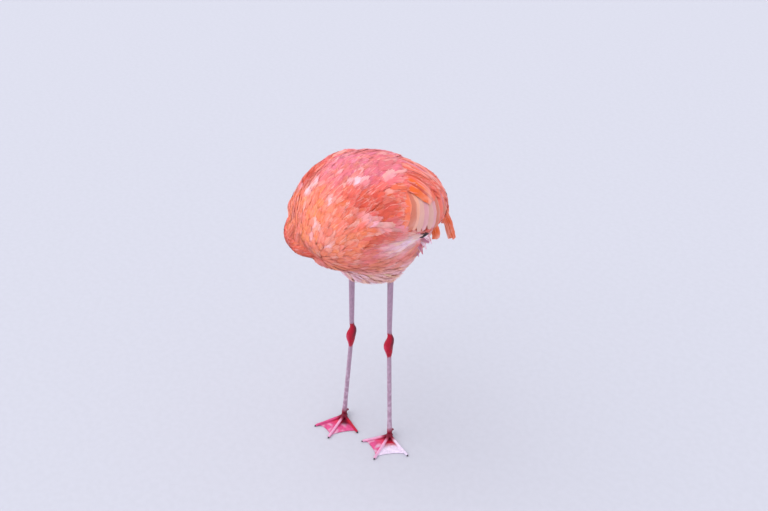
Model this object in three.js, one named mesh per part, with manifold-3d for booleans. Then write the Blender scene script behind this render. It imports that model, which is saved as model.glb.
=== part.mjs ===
// A standing adult American flamingo, life size, bent round to scratch its own belly: the neck
// leaves the breast, runs back along the right flank and turns under the tail, and the head lies
// upside down below the belly with the bill between the legs.
//
// Millimetres, +Z up. The bird faces -Y, so its left side is +X. Everything is laid out about the
// trunk's middle plane, x = 0, with the floor at z = 0. The finished group is then set so that the
// origin is on the floor under the middle of the whole bird.
import * as THREE from "three";
import { mergeVertices } from "three/addons/utils/BufferGeometryUtils.js";
import Module from "manifold-3d";

const wasm = await Module();
wasm.setup();

const GAP = 0.3; // clear space between two pieces that meet
const { lerp, clamp, degToRad } = THREE.MathUtils;
const at = (x, y, z) => new THREE.Vector3(x, y, z);
const UP = at(0, 0, 1);
const AHEAD = at(0, 1, 0);

// ---------------------------------------------------------------- driving dimensions

// Each list runs from the breast to the rear in even steps along Y.
const TRUNK = {
  front: -172,
  rear: 244,
  axisHeight: [687, 689, 689, 686, 683, 677, 669, 657, 641],
  back: [72, 104, 130, 141, 135, 117, 92, 64, 36], // height of the back over the axis
  belly: [58, 92, 126, 160, 182, 164, 118, 72, 34], // depth of the belly below it
  halfWidth: [74, 104, 122, 130, 131, 123, 104, 74, 38],
  roundedShare: 0.13, // how much of each end is rounded off
};

// The folded wing lies on the trunk's side. Each list runs from the shoulder to the wing's end.
const WING = {
  from: -122,
  to: 236,
  angle: [8, 18, 23, 23, 20, 14, 4], // degrees round the trunk, above its widest line
  halfHeight: [22, 54, 72, 75, 65, 44, 14],
  halfThickness: [8, 15, 17, 17, 15, 11, 5],
  standOff: 3, // the wing's middle surface lies this far outside the trunk
  wrapRadius: 135, // the wing's section bends round the trunk with this radius
};

// The long inner feathers that droop over the end of the folded wing, left side.
const TERTIALS = [
  { spine: [[78, 134, 694], [85, 172, 660], [81, 206, 608], [77, 234, 546]], halfWidth: 16 },
  { spine: [[52, 172, 700], [56, 212, 664], [47, 236, 616], [40, 246, 566]], halfWidth: 16 },
  { spine: [[104, 96, 668], [108, 119, 644], [107, 131, 620], [103, 137, 598]], halfWidth: 14 },
];
const TERTIAL_TAPER = [0.6, 0.95, 0.9, 0.6];
const TERTIAL_HALF_THICKNESS = 3.2;

// The black flight feathers, laid on the side like the wing and showing only below its edge.
const PRIMARIES = {
  from: -10,
  to: 80,
  angle: [2, -4, -10, -14],
  halfHeight: [12, 16, 12, 4],
  halfThickness: [4, 5, 4, 2.5],
  standOff: 5,
  wrapRadius: 135,
};

const TAIL = {
  spine: [[0, 190, 629], [0, 228, 605], [0, 262, 571], [0, 282, 543]],
  halfWidth: [38, 48, 46, 20],
  halfThickness: [16, 12, 7, 3],
};

const NECK = {
  spine: [
    [-18, -84, 678], [-50, -126, 660], [-108, -98, 643], [-156, -38, 620], [-182, 28, 597],
    [-187, 92, 568], [-182, 148, 538], [-164, 196, 508], [-132, 218, 482], [-98, 190, 460],
  ],
  radius: [66, 50, 34, 27, 24.5, 23, 22, 21.5, 21, 20],
  cuts: [0.33, 0.66], // where the neck is divided, as shares of its length
};

// Lists for the head start at the nape, lists for the bill at its base. up is towards the crown.
const HEAD = {
  forward: [0.26, -0.96, 0.02], // the way the bill base points
  crown: [-0.1, 0, -1], // the crown faces the floor
  reach: 54, // from the last neck section to the eyes
  napeOverlap: 16,
  skull: {
    spine: [[-18, 0, 1], [0, 0, 2], [16, 0, -3], [25, 0, -6]],
    side: [20, 19, 19.5, 17.5, 13.5, 10],
    up: [20, 19, 19.5, 17, 11, 6],
    down: [20, 19, 20, 19, 16, 11],
  },
  upperBill: {
    spine: [[15, 0, 2], [40, 0, -3], [62, 0, -12], [76, 0, -32], [80, 0, -54], [75, 0, -72]],
    side: [9.5, 9.5, 11, 10, 6, 1.6],
    up: [8, 5.5, 5, 5.5, 4.5, 1.2],
    down: [8, 6, 5, 5, 4, 1.2],
  },
  lowerBill: {
    spine: [[16, 0, -13], [34, 0, -17], [49, 0, -25], [60, 0, -41], [66, 0, -56], [69, 0, -68]],
    side: [9, 11, 12.5, 11, 7, 2],
    up: [7, 9, 11, 9, 6, 2],
    down: [8, 9, 11, 10, 6, 2],
  },
  eye: [2, 12.9, 7], // the left eye's centre
  eyeRadius: 5.6,
};

// Toe angles are degrees to the bird's left of straight ahead.
const LEGS = [
  {
    side: "left",
    foot: [30, 56],
    ankle: [31, 52, 302],
    top: [63, 23, 600],
    toes: { inner: -32, middle: 18, outer: 75, hind: 200 },
  },
  {
    side: "right",
    foot: [-112, 32],
    ankle: [-73, 27, 296],
    top: [-21, -18, 600],
    toes: { inner: 72, middle: 18, outer: -20, hind: 200 },
  },
];

const LEG = {
  footTop: 17, // height of the heel, where the bare leg starts
  half: [5.1, 7.6], // half thickness of the bare leg below the joint and at the thigh
  heelFlare: 1.6,
  jointReach: 35, // the red joint's length above and below its centre
  jointHalf: { side: 6.4, back: 8.2, front: 5.2 }, // how much it swells
  thighHeight: 514, // where the bare leg passes into the feathered thigh
  thighHalf: [12, 32],
};

const TOE = {
  length: { inner: 76, middle: 96, outer: 88, hind: 24 },
  half: { inner: 4.4, middle: 4.9, outer: 4.5, hind: 3.6 },
  clawShare: 0.87, // the claw starts at this share of the toe
  clawHalf: [2.7, 0.7],
};
const FOOT = { heelRadius: 8.5, heelSink: 1, webThickness: 1.6, webBase: 0.6, webNotch: 0.86 };

// ---------------------------------------------------------------- materials

const paint = (color, roughness) => new THREE.MeshStandardMaterial({ color, roughness, metalness: 0 });
const CORAL = paint(0xf08a74, 0.8);
const FLAME = paint(0xe9622f, 0.75);
const INK = paint(0x1c1718, 0.6);
const BARE_LEG = paint(0xa98e9f, 0.55);
const RED_SKIN = paint(0xb8203f, 0.5);
const PALE_BILL = paint(0xf2d9c4, 0.4);
const BLACK_BILL = paint(0x2a2224, 0.35);
const YELLOW_EYE = paint(0xf0d060, 0.1);

// ---------------------------------------------------------------- shaping tools

// Points met one after another, as a smooth path over 0..1.
function path(points) {
  const curve = new THREE.CatmullRomCurve3(points.map((point) => at(...point)), false, "centripetal");
  return (t) => curve.getPoint(t);
}

// Numbers met at even steps, as a smooth function of 0..1.
function through(values) {
  const last = values.length - 1;
  return (t) => {
    const place = clamp(t, 0, 1) * last;
    const low = Math.min(Math.floor(place), last - 1);
    const ease = place - low;
    const [a, b] = [values[low], values[low + 1]];
    const slopeA = (b - values[Math.max(low - 1, 0)]) / 2;
    const slopeB = (values[Math.min(low + 2, last)] - a) / 2;
    const cube = 2 * a - 2 * b + slopeA + slopeB;
    const square = -3 * a + 3 * b - 2 * slopeA - slopeB;
    return ((cube * ease + square) * ease + slopeA) * ease + a;
  };
}

// A closed skin whose rings are laid along spine(t). size(t) gives each ring's half widths
// {side, up, down}, up(t) the way its top faces, bend curls its section round to one side, and
// grow makes it larger all round. The first and last rings are capped.
function loft(shape, grow = 0) {
  const { spine, size, sides = 20, steps = 20, from = 0, to = 1 } = shape;
  const { up = () => UP, bend = 0, spread = (share) => share } = shape;
  const skin = new THREE.SphereGeometry(1, sides, steps);
  const place = skin.getAttribute("position");
  const ahead = at(0, 0, 0);
  for (let row = 0; row <= steps; row++) {
    const isCap = row === 0 || row === steps;
    const t = lerp(from, to, spread(clamp((row - 1) / (steps - 2), 0, 1)));
    const centre = spine(t);
    ahead.subVectors(spine(Math.min(t + 0.01, 1)), spine(Math.max(t - 0.01, 0))).normalize();
    const across = at(0, 0, 0).crossVectors(up(t), ahead).normalize();
    const upright = at(0, 0, 0).crossVectors(ahead, across);
    if (row <= 1 && from === 0) centre.addScaledVector(ahead, -grow);
    if (row >= steps - 1 && to === 1) centre.addScaledVector(ahead, grow);
    const half = size(t);
    for (let side = 0; side <= sides; side++) {
      const angle = (side / sides) * 2 * Math.PI;
      const above = Math.sin(angle) > 0 ? half.up : (half.down ?? half.up);
      const wide = isCap ? 0 : (half.side + grow) * Math.cos(angle);
      const high = isCap ? 0 : (above + grow) * Math.sin(angle);
      const point = centre.clone().addScaledVector(across, bend * high * high - wide);
      point.addScaledVector(upright, high);
      place.setXYZ(row * (sides + 1) + side, point.x, point.y, point.z);
    }
  }
  return solidFrom(skin);
}

// A three.js geometry as a solid that can be cut and joined.
function solidFrom(geometry) {
  const bare = geometry.clone();
  bare.deleteAttribute("normal");
  bare.deleteAttribute("uv");
  const merged = mergeVertices(bare, 1e-3);
  const triVerts = new Uint32Array(merged.index.array);
  const vertProperties = merged.getAttribute("position").array;
  return new wasm.Manifold(new wasm.Mesh({ numProp: 3, vertProperties, triVerts }));
}

function geometryFrom(solid) {
  const mesh = solid.getMesh();
  const geometry = new THREE.BufferGeometry();
  geometry.setAttribute("position", new THREE.BufferAttribute(mesh.vertProperties, 3));
  geometry.setIndex(new THREE.BufferAttribute(mesh.triVerts, 1));
  geometry.computeVertexNormals();
  return geometry;
}

const bird = new THREE.Group();

function addPiece(name, solid, material, parent = bird) {
  const mesh = new THREE.Mesh(geometryFrom(solid), material);
  mesh.name = name;
  parent.add(mesh);
}

const mirrored = (points) => points.map(([x, y, z]) => [-x, y, z]);

// What is left of a solid outside its neighbours; stray slivers are dropped.
function without(solid, others) {
  const left = others.reduce((rest, other) => rest.subtract(other), solid);
  return left.decompose().reduce((a, b) => (a.volume() > b.volume() ? a : b));
}

const even = (half) => ({ side: half, up: half });
const cosineSpread = (s) => (1 - Math.cos(Math.PI * s)) / 2;

// The solid of one loft, and the slightly larger one that its neighbours are cut by.
function tightAndGrown(shape) {
  return { tight: loft(shape), grown: loft(shape, GAP) };
}

// ---------------------------------------------------------------- trunk

const trunkY = (t) => lerp(TRUNK.front, TRUNK.rear, t);
const trunkShare = (y) => (y - TRUNK.front) / (TRUNK.rear - TRUNK.front);
const trunkAxis = through(TRUNK.axisHeight);
const trunkLists = [through(TRUNK.halfWidth), through(TRUNK.back), through(TRUNK.belly)];

// Half width, height and depth of the trunk at a share of its length.
function trunkSize(t) {
  const end = Math.min(t, 1 - t) / TRUNK.roundedShare;
  const rounding = Math.max(Math.sqrt(1 - Math.max(1 - end, 0) ** 2), 0.06);
  const [side, up, down] = trunkLists.map((list) => list(t) * rounding);
  return { side, up, down };
}

function trunkShape() {
  return {
    spine: (t) => at(0, trunkY(t), trunkAxis(t)),
    size: trunkSize,
    sides: 24,
    steps: 20,
    spread: cosineSpread,
  };
}

// A point on the trunk's left side, an angle above its widest line, and the way up the side there.
function onTrunk(y, degrees) {
  const t = trunkShare(y);
  const { side, up, down } = trunkSize(t);
  const angle = degToRad(degrees);
  const height = angle > 0 ? up : down;
  const point = at(side * Math.cos(angle), y, trunkAxis(t) + height * Math.sin(angle));
  const climb = at(-side * Math.sin(angle), 0, height * Math.cos(angle)).normalize();
  return { point, climb, outward: at(climb.z, 0, -climb.x) };
}

// ---------------------------------------------------------------- wings and tail

// A shallow blade that lies along the trunk's side.
function sideShape({ from, to, angle, halfHeight, halfThickness, standOff, wrapRadius }, isLeft) {
  const sign = isLeft ? 1 : -1;
  const mirror = at(sign, 1, 1);
  const [turn, height, thickness] = [angle, halfHeight, halfThickness].map(through);
  const seat = (t) => onTrunk(lerp(from, to, t), turn(t));
  return {
    spine: (t) => {
      const { point, outward } = seat(t);
      return point.addScaledVector(outward, standOff).multiply(mirror);
    },
    size: (t) => ({ side: thickness(t), up: height(t) }),
    sides: halfHeight.length > 4 ? 16 : 8,
    steps: halfHeight.length > 4 ? 14 : 7,
    up: (t) => seat(t).climb.multiply(mirror),
    bend: sign / (2 * wrapRadius),
  };
}

function bladeShape(points, halfWidth) {
  const width = through(halfWidth);
  return {
    spine: path(points),
    size: (t) => ({ side: TERTIAL_HALF_THICKNESS, up: width(t) }),
    sides: 6,
    steps: 8,
  };
}

function tertialShapes(isLeft) {
  return TERTIALS.map(({ spine, halfWidth }) =>
    bladeShape(isLeft ? spine : mirrored(spine), TERTIAL_TAPER.map((share) => share * halfWidth)),
  );
}

function tailShape() {
  const width = through(TAIL.halfWidth);
  const thickness = through(TAIL.halfThickness);
  return {
    spine: path(TAIL.spine),
    size: (t) => ({ side: width(t), up: thickness(t) }),
    sides: 12,
    steps: 10,
  };
}

// ---------------------------------------------------------------- neck and head

const neckSpine = path(NECK.spine);

function addNeck(carvers) {
  const radius = through(NECK.radius);
  const shape = { spine: neckSpine, size: (t) => even(radius(t)), sides: 16, steps: 10 };
  const length = new THREE.CatmullRomCurve3(NECK.spine.map((p) => at(...p))).getLength();
  const cut = GAP / 2 / length;
  const ends = [0, ...NECK.cuts, 1];
  ["neck_base", "neck_middle", "neck_upper"].forEach((name, i) => {
    const from = i > 0 ? ends[i] + cut : 0;
    const to = i < 2 ? ends[i + 1] - cut : 1;
    addPiece(name, without(loft({ ...shape, from, to }), carvers), CORAL);
  });
  return loft({ ...shape, from: ends[2] }, GAP);
}

// Head points are given in the head's own frame: +X along the base of the bill, +Z the crown.
function addHead(neckCarver) {
  const forward = at(...HEAD.forward).normalize();
  const side = at(0, 0, 0).crossVectors(at(...HEAD.crown), forward).normalize();
  const crown = at(0, 0, 0).crossVectors(forward, side);
  const neckEnd = neckSpine(1);
  const neckAhead = neckEnd.clone().sub(neckSpine(0.98)).normalize();
  const frame = new THREE.Matrix4().makeBasis(forward, side, crown);
  frame.setPosition(neckEnd.clone().addScaledVector(neckAhead, HEAD.reach));
  const placed = (points) => points.map((point) => at(...point).applyMatrix4(frame).toArray());
  const headShape = (points, { side, up, down }, sides, steps) => {
    const lists = [side, up, down].map(through);
    const size = (t) => ({ side: lists[0](t), up: lists[1](t), down: lists[2](t) });
    return { spine: path(points), size, sides, steps, up: () => crown };
  };

  const upper = tightAndGrown(headShape(placed(HEAD.upperBill.spine), HEAD.upperBill, 12, 11));
  const lower = tightAndGrown(headShape(placed(HEAD.lowerBill.spine), HEAD.lowerBill, 12, 10));
  addPiece("bill_upper", upper.tight, PALE_BILL);
  addPiece("bill_lower", without(lower.tight, [upper.grown]), BLACK_BILL);

  const sockets = ["left", "right"].map((name) => {
    const [x, y, z] = HEAD.eye;
    const centre = at(x, name === "left" ? y : -y, z).applyMatrix4(frame);
    const ball = (radius) =>
      solidFrom(new THREE.SphereGeometry(radius, 10, 8).translate(centre.x, centre.y, centre.z));
    addPiece(`eye_${name}`, ball(HEAD.eyeRadius), YELLOW_EYE);
    return ball(HEAD.eyeRadius + GAP);
  });

  const nape = [0, HEAD.napeOverlap].map((d) => neckEnd.clone().addScaledVector(neckAhead, d).toArray());
  const skull = headShape([...nape, ...placed(HEAD.skull.spine)], HEAD.skull, 16, 12);
  addPiece("head", without(loft(skull), [neckCarver, upper.grown, lower.grown, ...sockets]), CORAL);
}

// ---------------------------------------------------------------- legs and feet

function addLeg({ side, foot, ankle, top, toes }, carvers) {
  const start = at(foot[0], foot[1], LEG.footTop + GAP);
  const joint = at(...ankle);
  const end = at(...top);
  const length = start.distanceTo(joint) + joint.distanceTo(end);
  const jointShare = start.distanceTo(joint) / length;
  const reach = LEG.jointReach / length;
  const cut = GAP / 2 / length;
  const thighShare = jointShare + (1 - jointShare) * ((LEG.thighHeight - joint.z) / (end.z - joint.z));
  const spine = (t) =>
    t < jointShare
      ? start.clone().lerp(joint, t / jointShare)
      : joint.clone().lerp(end, (t - jointShare) / (1 - jointShare));

  // The bare leg is a thin oval rod with one swelling at the joint.
  const bareSize = (t) => {
    const off = Math.min(Math.abs(t - jointShare) / reach, 1);
    const swelling = Math.cos((off * Math.PI) / 2) ** 1.3;
    const thickening = clamp((t - jointShare) / (1 - jointShare), 0, 1);
    const flare = LEG.heelFlare * clamp(1 - t / 0.06, 0, 1);
    const half = lerp(...LEG.half, thickening) + flare;
    return {
      side: half + LEG.jointHalf.side * swelling,
      up: half + 0.9 + LEG.jointHalf.back * swelling,
      down: half + 0.9 + LEG.jointHalf.front * swelling,
    };
  };
  const bare = (from, to, steps) =>
    loft({ spine, size: bareSize, sides: 12, steps, from, to, up: () => AHEAD });
  addPiece(`tarsus_${side}`, bare(0, jointShare - reach - cut, 7), BARE_LEG);
  addPiece(`ankle_${side}`, bare(jointShare - reach + cut, jointShare + reach - cut, 12), RED_SKIN);
  addPiece(`tibia_${side}`, bare(jointShare + reach + cut, thighShare - cut, 6), BARE_LEG);

  const fullness = (t) => clamp((t - thighShare) / (1 - thighShare), 0, 1) ** 0.8;
  const thigh = loft({
    spine,
    size: (t) => even(lerp(...LEG.thighHalf, fullness(t))),
    sides: 14,
    steps: 8,
    from: thighShare + cut,
    up: () => AHEAD,
  });
  addPiece(`thigh_${side}`, without(thigh, carvers), CORAL);
  addFoot(side, foot, toes);
}

const clawHalf = (share) => lerp(...TOE.clawHalf, (share - TOE.clawShare) / (1 - TOE.clawShare));

// A toe from the heel to the claw's point; t is the share of its length.
function toeShape(name, degrees) {
  const angle = degToRad(degrees);
  const ahead = at(Math.sin(angle), -Math.cos(angle), 0);
  const isHind = name === "hind";
  const heights = isHind ? [12, 13, 12.5, 11, 8, 4.5] : [7.5, 4.6, 3.8, 3.4, 3.2, 1.6];
  const shares = [0, 0.28, 0.55, 0.8, 0.93, 1];
  const length = TOE.length[name];
  const spine = path(
    heights.map((height, i) => ahead.clone().multiplyScalar(shares[i] * length).setZ(height).toArray()),
  );
  const thick = TOE.half[name];
  const knuckles = (t) => (isHind ? 0 : 0.35 * Math.cos(6 * Math.PI * t));
  const half = (t) => (t < TOE.clawShare ? lerp(thick, 0.66 * thick, t) + knuckles(t) : clawHalf(t));
  return { name, tip: ahead.clone().multiplyScalar(length), spine, size: (t) => even(half(t)), sides: 7 };
}

function addFoot(side, [x, y], toes) {
  const foot = new THREE.Group();
  foot.position.set(x, y, 0);
  bird.add(foot);
  const floor = solidFrom(new THREE.BoxGeometry(400, 400, 40).translate(0, 0, -20));
  const above = solidFrom(new THREE.BoxGeometry(60, 60, 40).translate(0, 0, LEG.footTop + 20));
  const shapes = Object.entries(toes).map(([name, degrees]) => toeShape(name, degrees));

  const heel = new THREE.SphereGeometry(FOOT.heelRadius, 10, 8);
  heel.translate(0, 0, FOOT.heelRadius - FOOT.heelSink);
  let solid = solidFrom(heel).add(solidFrom(webGeometry(shapes.slice(0, 3))));
  for (const shape of shapes) {
    solid = solid.add(loft({ ...shape, to: TOE.clawShare - 0.002, steps: 8 }));
  }
  addPiece(`foot_${side}`, without(solid, [floor, above]), RED_SKIN, foot);
  for (const shape of shapes) {
    const claw = loft({ ...shape, from: TOE.clawShare + 0.002, steps: 5 });
    addPiece(`claw_${side}_${shape.name}`, without(claw, [floor]), INK, foot);
  }
}

// The skin between the three front toes, with a hollow front edge between each pair.
function webGeometry(toes) {
  const [inner, middle, outer] = toes.map(({ tip }) => tip.clone().multiplyScalar(0.97 * TOE.clawShare));
  const heelBack = middle.clone().multiplyScalar(-0.05);
  const outline = new THREE.Shape();
  outline.moveTo(heelBack.x, heelBack.y);
  outline.lineTo(inner.x, inner.y);
  for (const [from, to] of [[inner, middle], [middle, outer]]) {
    const hollow = from.clone().add(to).multiplyScalar(0.5 * FOOT.webNotch);
    outline.quadraticCurveTo(hollow.x, hollow.y, to.x, to.y);
  }
  outline.lineTo(heelBack.x, heelBack.y);
  return new THREE.ExtrudeGeometry(outline, {
    depth: FOOT.webThickness,
    bevelEnabled: false,
    curveSegments: 5,
  }).translate(0, 0, FOOT.webBase);
}

// ---------------------------------------------------------------- the bird

const trunk = tightAndGrown(trunkShape());
addPiece("trunk", trunk.tight, CORAL);

const folded = ["left", "right"].map((side) => {
  const isLeft = side === "left";
  const wing = tightAndGrown(sideShape(WING, isLeft));
  addPiece(`wing_${side}`, without(wing.tight, [trunk.grown]), CORAL);
  return { side, isLeft, wing };
});
const wingCarvers = [trunk.grown, ...folded.map(({ wing }) => wing.grown)];

const tail = tightAndGrown(tailShape());
addPiece("tail", without(tail.tight, wingCarvers), CORAL);

for (const { side, isLeft } of folded) {
  const carvers = [...wingCarvers, tail.grown];
  const blades = tertialShapes(isLeft).map((shape) => tightAndGrown(shape));
  blades.forEach((blade, i) => {
    addPiece(`tertial_${side}_${i + 1}`, without(blade.tight, carvers), FLAME);
    carvers.push(blade.grown);
  });
  addPiece(`primaries_${side}`, without(loft(sideShape(PRIMARIES, isLeft)), carvers), INK);
}

addHead(addNeck(wingCarvers));
for (const leg of LEGS) addLeg(leg, wingCarvers);

const box = new THREE.Box3().setFromObject(bird);
const middle = box.getCenter(at(0, 0, 0));
bird.position.set(-middle.x, -middle.y, -box.min.z);

export default bird;
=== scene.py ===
import math

import bpy
import numpy as np
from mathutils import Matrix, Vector, noise
from mathutils.bvhtree import BVHTree
from mathutils.kdtree import KDTree


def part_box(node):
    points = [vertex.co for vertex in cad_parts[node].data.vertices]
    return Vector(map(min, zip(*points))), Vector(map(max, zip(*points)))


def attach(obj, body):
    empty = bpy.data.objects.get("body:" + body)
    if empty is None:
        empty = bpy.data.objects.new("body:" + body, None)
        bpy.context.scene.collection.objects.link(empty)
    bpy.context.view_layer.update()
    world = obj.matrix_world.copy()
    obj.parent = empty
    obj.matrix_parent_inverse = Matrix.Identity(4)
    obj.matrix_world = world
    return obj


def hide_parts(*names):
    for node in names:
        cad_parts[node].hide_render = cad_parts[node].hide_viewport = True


# An American flamingo standing bent round to scratch its belly. Places are written in the
# bird's own frame, in millimetres: x = 0 is the trunk's middle plane and +x its left side,
# -y is ahead, z = 0 is the floor. Blender's own units stay metres.

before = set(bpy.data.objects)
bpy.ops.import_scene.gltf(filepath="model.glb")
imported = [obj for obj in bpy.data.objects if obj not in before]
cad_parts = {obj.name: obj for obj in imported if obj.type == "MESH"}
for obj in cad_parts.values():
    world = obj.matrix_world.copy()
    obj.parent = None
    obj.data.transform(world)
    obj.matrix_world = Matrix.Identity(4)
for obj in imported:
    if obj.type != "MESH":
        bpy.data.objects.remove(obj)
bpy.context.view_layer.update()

dice = np.random.default_rng(11)
birdSides = {"left": 1, "right": -1}  # the sign of x

breastAhead = 0.172  # metres from the breast's foremost point back to the bird's own y = 0
trunkLow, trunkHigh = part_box("trunk")
offset = np.array(Vector(((trunkLow.x + trunkHigh.x) / 2, trunkLow.y + breastAhead, 0.0)))

screenColours = {  # 0 to 255, as on a screen
    # feathers
    "breast": (250, 138, 110), "orange": (248, 118, 78), "coral": (240, 108, 88),
    "deepCoral": (206, 74, 54), "pink": (224, 118, 136), "salmon": (240, 140, 124),
    "paleTip": (255, 206, 200), "lilac": (255, 218, 234), "peach": (238, 164, 138),
    "beige": (226, 170, 156), "mauve": (226, 160, 166), "orchid": (214, 140, 166),
    # the brown-red among these is painted shade for the neck's crease
    "flame": (238, 104, 44), "rust": (216, 124, 100), "creaseShade": (158, 56, 38), "ink": (26, 22, 26),
    # legs and feet
    "shank": (174, 141, 163), "shankPale": (206, 184, 202), "crimson": (178, 8, 44),
    "cherry": (214, 60, 96), "wine": (96, 10, 38), "rose": (208, 76, 130), "blush": (224, 162, 196),
    # pale lilac for toes, and for painted wet sheen on the webs
    "paleLilacAndSheen": (222, 206, 228),
    # face, bill and eyes
    "bareFace": (238, 190, 170), "billBase": (240, 200, 184), "billMiddle": (240, 128, 104),
    "horn": (24, 20, 22), "iris": (238, 200, 96), "irisEdge": (196, 120, 40),
    "eyeWhite": (70, 40, 38), "lid": (214, 122, 112),
}


def linearLight(tone):
    tone = np.array(tone) / 255
    return np.where(tone > 0.04045, ((tone + 0.055) / 1.055) ** 2.4, tone / 12.92)


colours = {name: linearLight(tone) for name, tone in screenColours.items()}


# small helpers

def pickOnly(*things):
    if bpy.context.mode != "OBJECT":
        bpy.ops.object.mode_set(mode="OBJECT")
    bpy.ops.object.select_all(action="DESELECT")
    for thing in things:
        thing.select_set(True)
    if things:
        bpy.context.view_layer.objects.active = things[0]


def settled(name):  # names the primitive just added and puts its place into its mesh
    piece = bpy.context.object
    piece.name = piece.data.name = name
    pickOnly(piece)
    bpy.ops.object.transform_apply(location=True, rotation=True, scale=True)
    return piece


def applied(piece, kind, **values):
    pickOnly(piece)
    modifier = piece.modifiers.new(kind.title(), kind)
    for key, value in values.items():
        setattr(modifier, key, value)
    bpy.ops.object.modifier_apply(modifier=modifier.name)


def pickVertices(piece, chosen):  # leaves the piece in edit mode with only these picked
    pickOnly(piece)
    bpy.ops.object.mode_set(mode="EDIT")
    bpy.ops.mesh.select_mode(type="VERT")
    bpy.ops.mesh.select_all(action="DESELECT")
    bpy.ops.object.mode_set(mode="OBJECT")
    piece.data.vertices.foreach_set("select", chosen)
    bpy.ops.object.mode_set(mode="EDIT")


def smoothStep(low, high, value):
    share = np.clip((value - low) / (high - low), 0, 1)
    return share * share * (3 - 2 * share)


wholeTurn = 6.283  # of a wave, in radians


def bell(gap, reach):
    return np.exp(-(gap / reach) ** 2)


def wave(value, pitch, power):  # from 0 to 1 and back once in each pitch, narrow where it is high
    return (0.5 + 0.5 * np.cos(2 * np.pi * value / pitch)) ** power


def unit(vectors):
    return vectors / np.maximum(np.linalg.norm(vectors, axis=-1, keepdims=True), 1e-9)


def gapsTo(line, points):  # from every point to every sample of a line
    return np.linalg.norm(points[:, None] - line[None], axis=2)


def nearness(points, middle, reach):
    return bell(np.linalg.norm(points - np.array(middle), axis=1), reach)


def blend(a, b, share):
    share = np.asarray(share)[..., None]
    return a * (1 - share) + b * share


def layered(value, table, *layers):  # each layer: a name in the table and how far it covers
    for name, share in layers:
        value = blend(value, table[name], share)
    return value


def curveThrough(points, samples):  # points: (..., count, 3)
    points = np.asarray(points, float)
    first = 2 * points[..., :1, :] - points[..., 1:2, :]
    last = 2 * points[..., -1:, :] - points[..., -2:-1, :]
    ends = np.concatenate([first, points, last], axis=-2)
    places = np.linspace(0, points.shape[-2] - 1 - 1e-9, samples)
    low = places.astype(int)
    t = (places - low)[:, None]
    p0, p1, p2, p3 = (ends[..., low + k, :] for k in range(4))
    return 0.5 * (2 * p1 + (p2 - p0) * t + (2 * p0 - 5 * p1 + 4 * p2 - p3) * t ** 2
                  + (3 * p1 - p0 - 3 * p2 + p3) * t ** 3)


def atBird(millimetres):
    return np.asarray(millimetres, float) / 1000 + offset


def ownPlace(points):  # metres in the world to millimetres on the bird
    return (points - offset) * 1000


def noiseAt(points, scale, shift=0.0):
    lift = Vector((shift, -shift, 2 * shift))
    return np.array([noise.noise(Vector(p) * scale + lift) for p in points.tolist()])


def vertexArray(mesh, what="co"):
    values = np.empty(len(mesh.vertices) * 3)
    mesh.vertices.foreach_get(what, values)
    return values.reshape(-1, 3)


def moveVertices(mesh, places):
    mesh.vertices.foreach_set("co", places.ravel())
    mesh.update()


def smoothShaded(mesh):
    mesh.polygons.foreach_set("use_smooth", np.ones(len(mesh.polygons), bool))


def paint(mesh, name, values):  # a colour or a number at every vertex
    isColour = values.ndim == 2
    if isColour:
        values = np.c_[values, np.ones(len(values))]
    layer = mesh.attributes.new(name, "FLOAT_COLOR" if isColour else "FLOAT", "POINT")
    layer.data.foreach_set("color" if isColour else "value", values.astype("f").ravel())


def mergedCopy(name, nodes):
    pieces = []
    for node in nodes:
        piece = bpy.data.objects.new(name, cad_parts[node].data.copy())
        bpy.context.scene.collection.objects.link(piece)
        piece.data.materials.clear()
        pieces.append(piece)
    pickOnly(*pieces)
    if len(pieces) > 1:
        bpy.ops.object.join()
    piece = bpy.context.view_layer.objects.active
    bpy.ops.object.mode_set(mode="EDIT")
    bpy.ops.mesh.select_all(action="SELECT")
    bpy.ops.mesh.remove_doubles(threshold=0.00001)
    bpy.ops.object.mode_set(mode="OBJECT")
    return piece


def softened(piece, setup):  # the swell closes the thin cuts between solids
    applied(piece, "DISPLACE", strength=setup["swell"], mid_level=0)
    applied(piece, "REMESH", mode="VOXEL", voxel_size=setup["voxel"])
    applied(piece, "SMOOTH", factor=0.6, iterations=setup["rounds"])
    smoothShaded(piece.data)


# the camera

cameraSetup = {"place": (1363.2, -1394.9, 1790), "heading": 43.0, "down": 32.0, "lens": 47.0, "sensor": 36}


def addCamera():
    turn = (math.radians(90 - cameraSetup["down"]), 0, math.radians(cameraSetup["heading"]))
    bpy.ops.object.camera_add(location=atBird(cameraSetup["place"]), rotation=turn)
    camera = bpy.context.object
    camera.data.lens = cameraSetup["lens"]
    camera.data.sensor_width = cameraSetup["sensor"]
    camera.data.clip_start = 0.01
    bpy.context.scene.camera = camera


addCamera()
print("camera placed")


# materials: every surface carries its own "tone", and vanes also "along" and "across"

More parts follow.
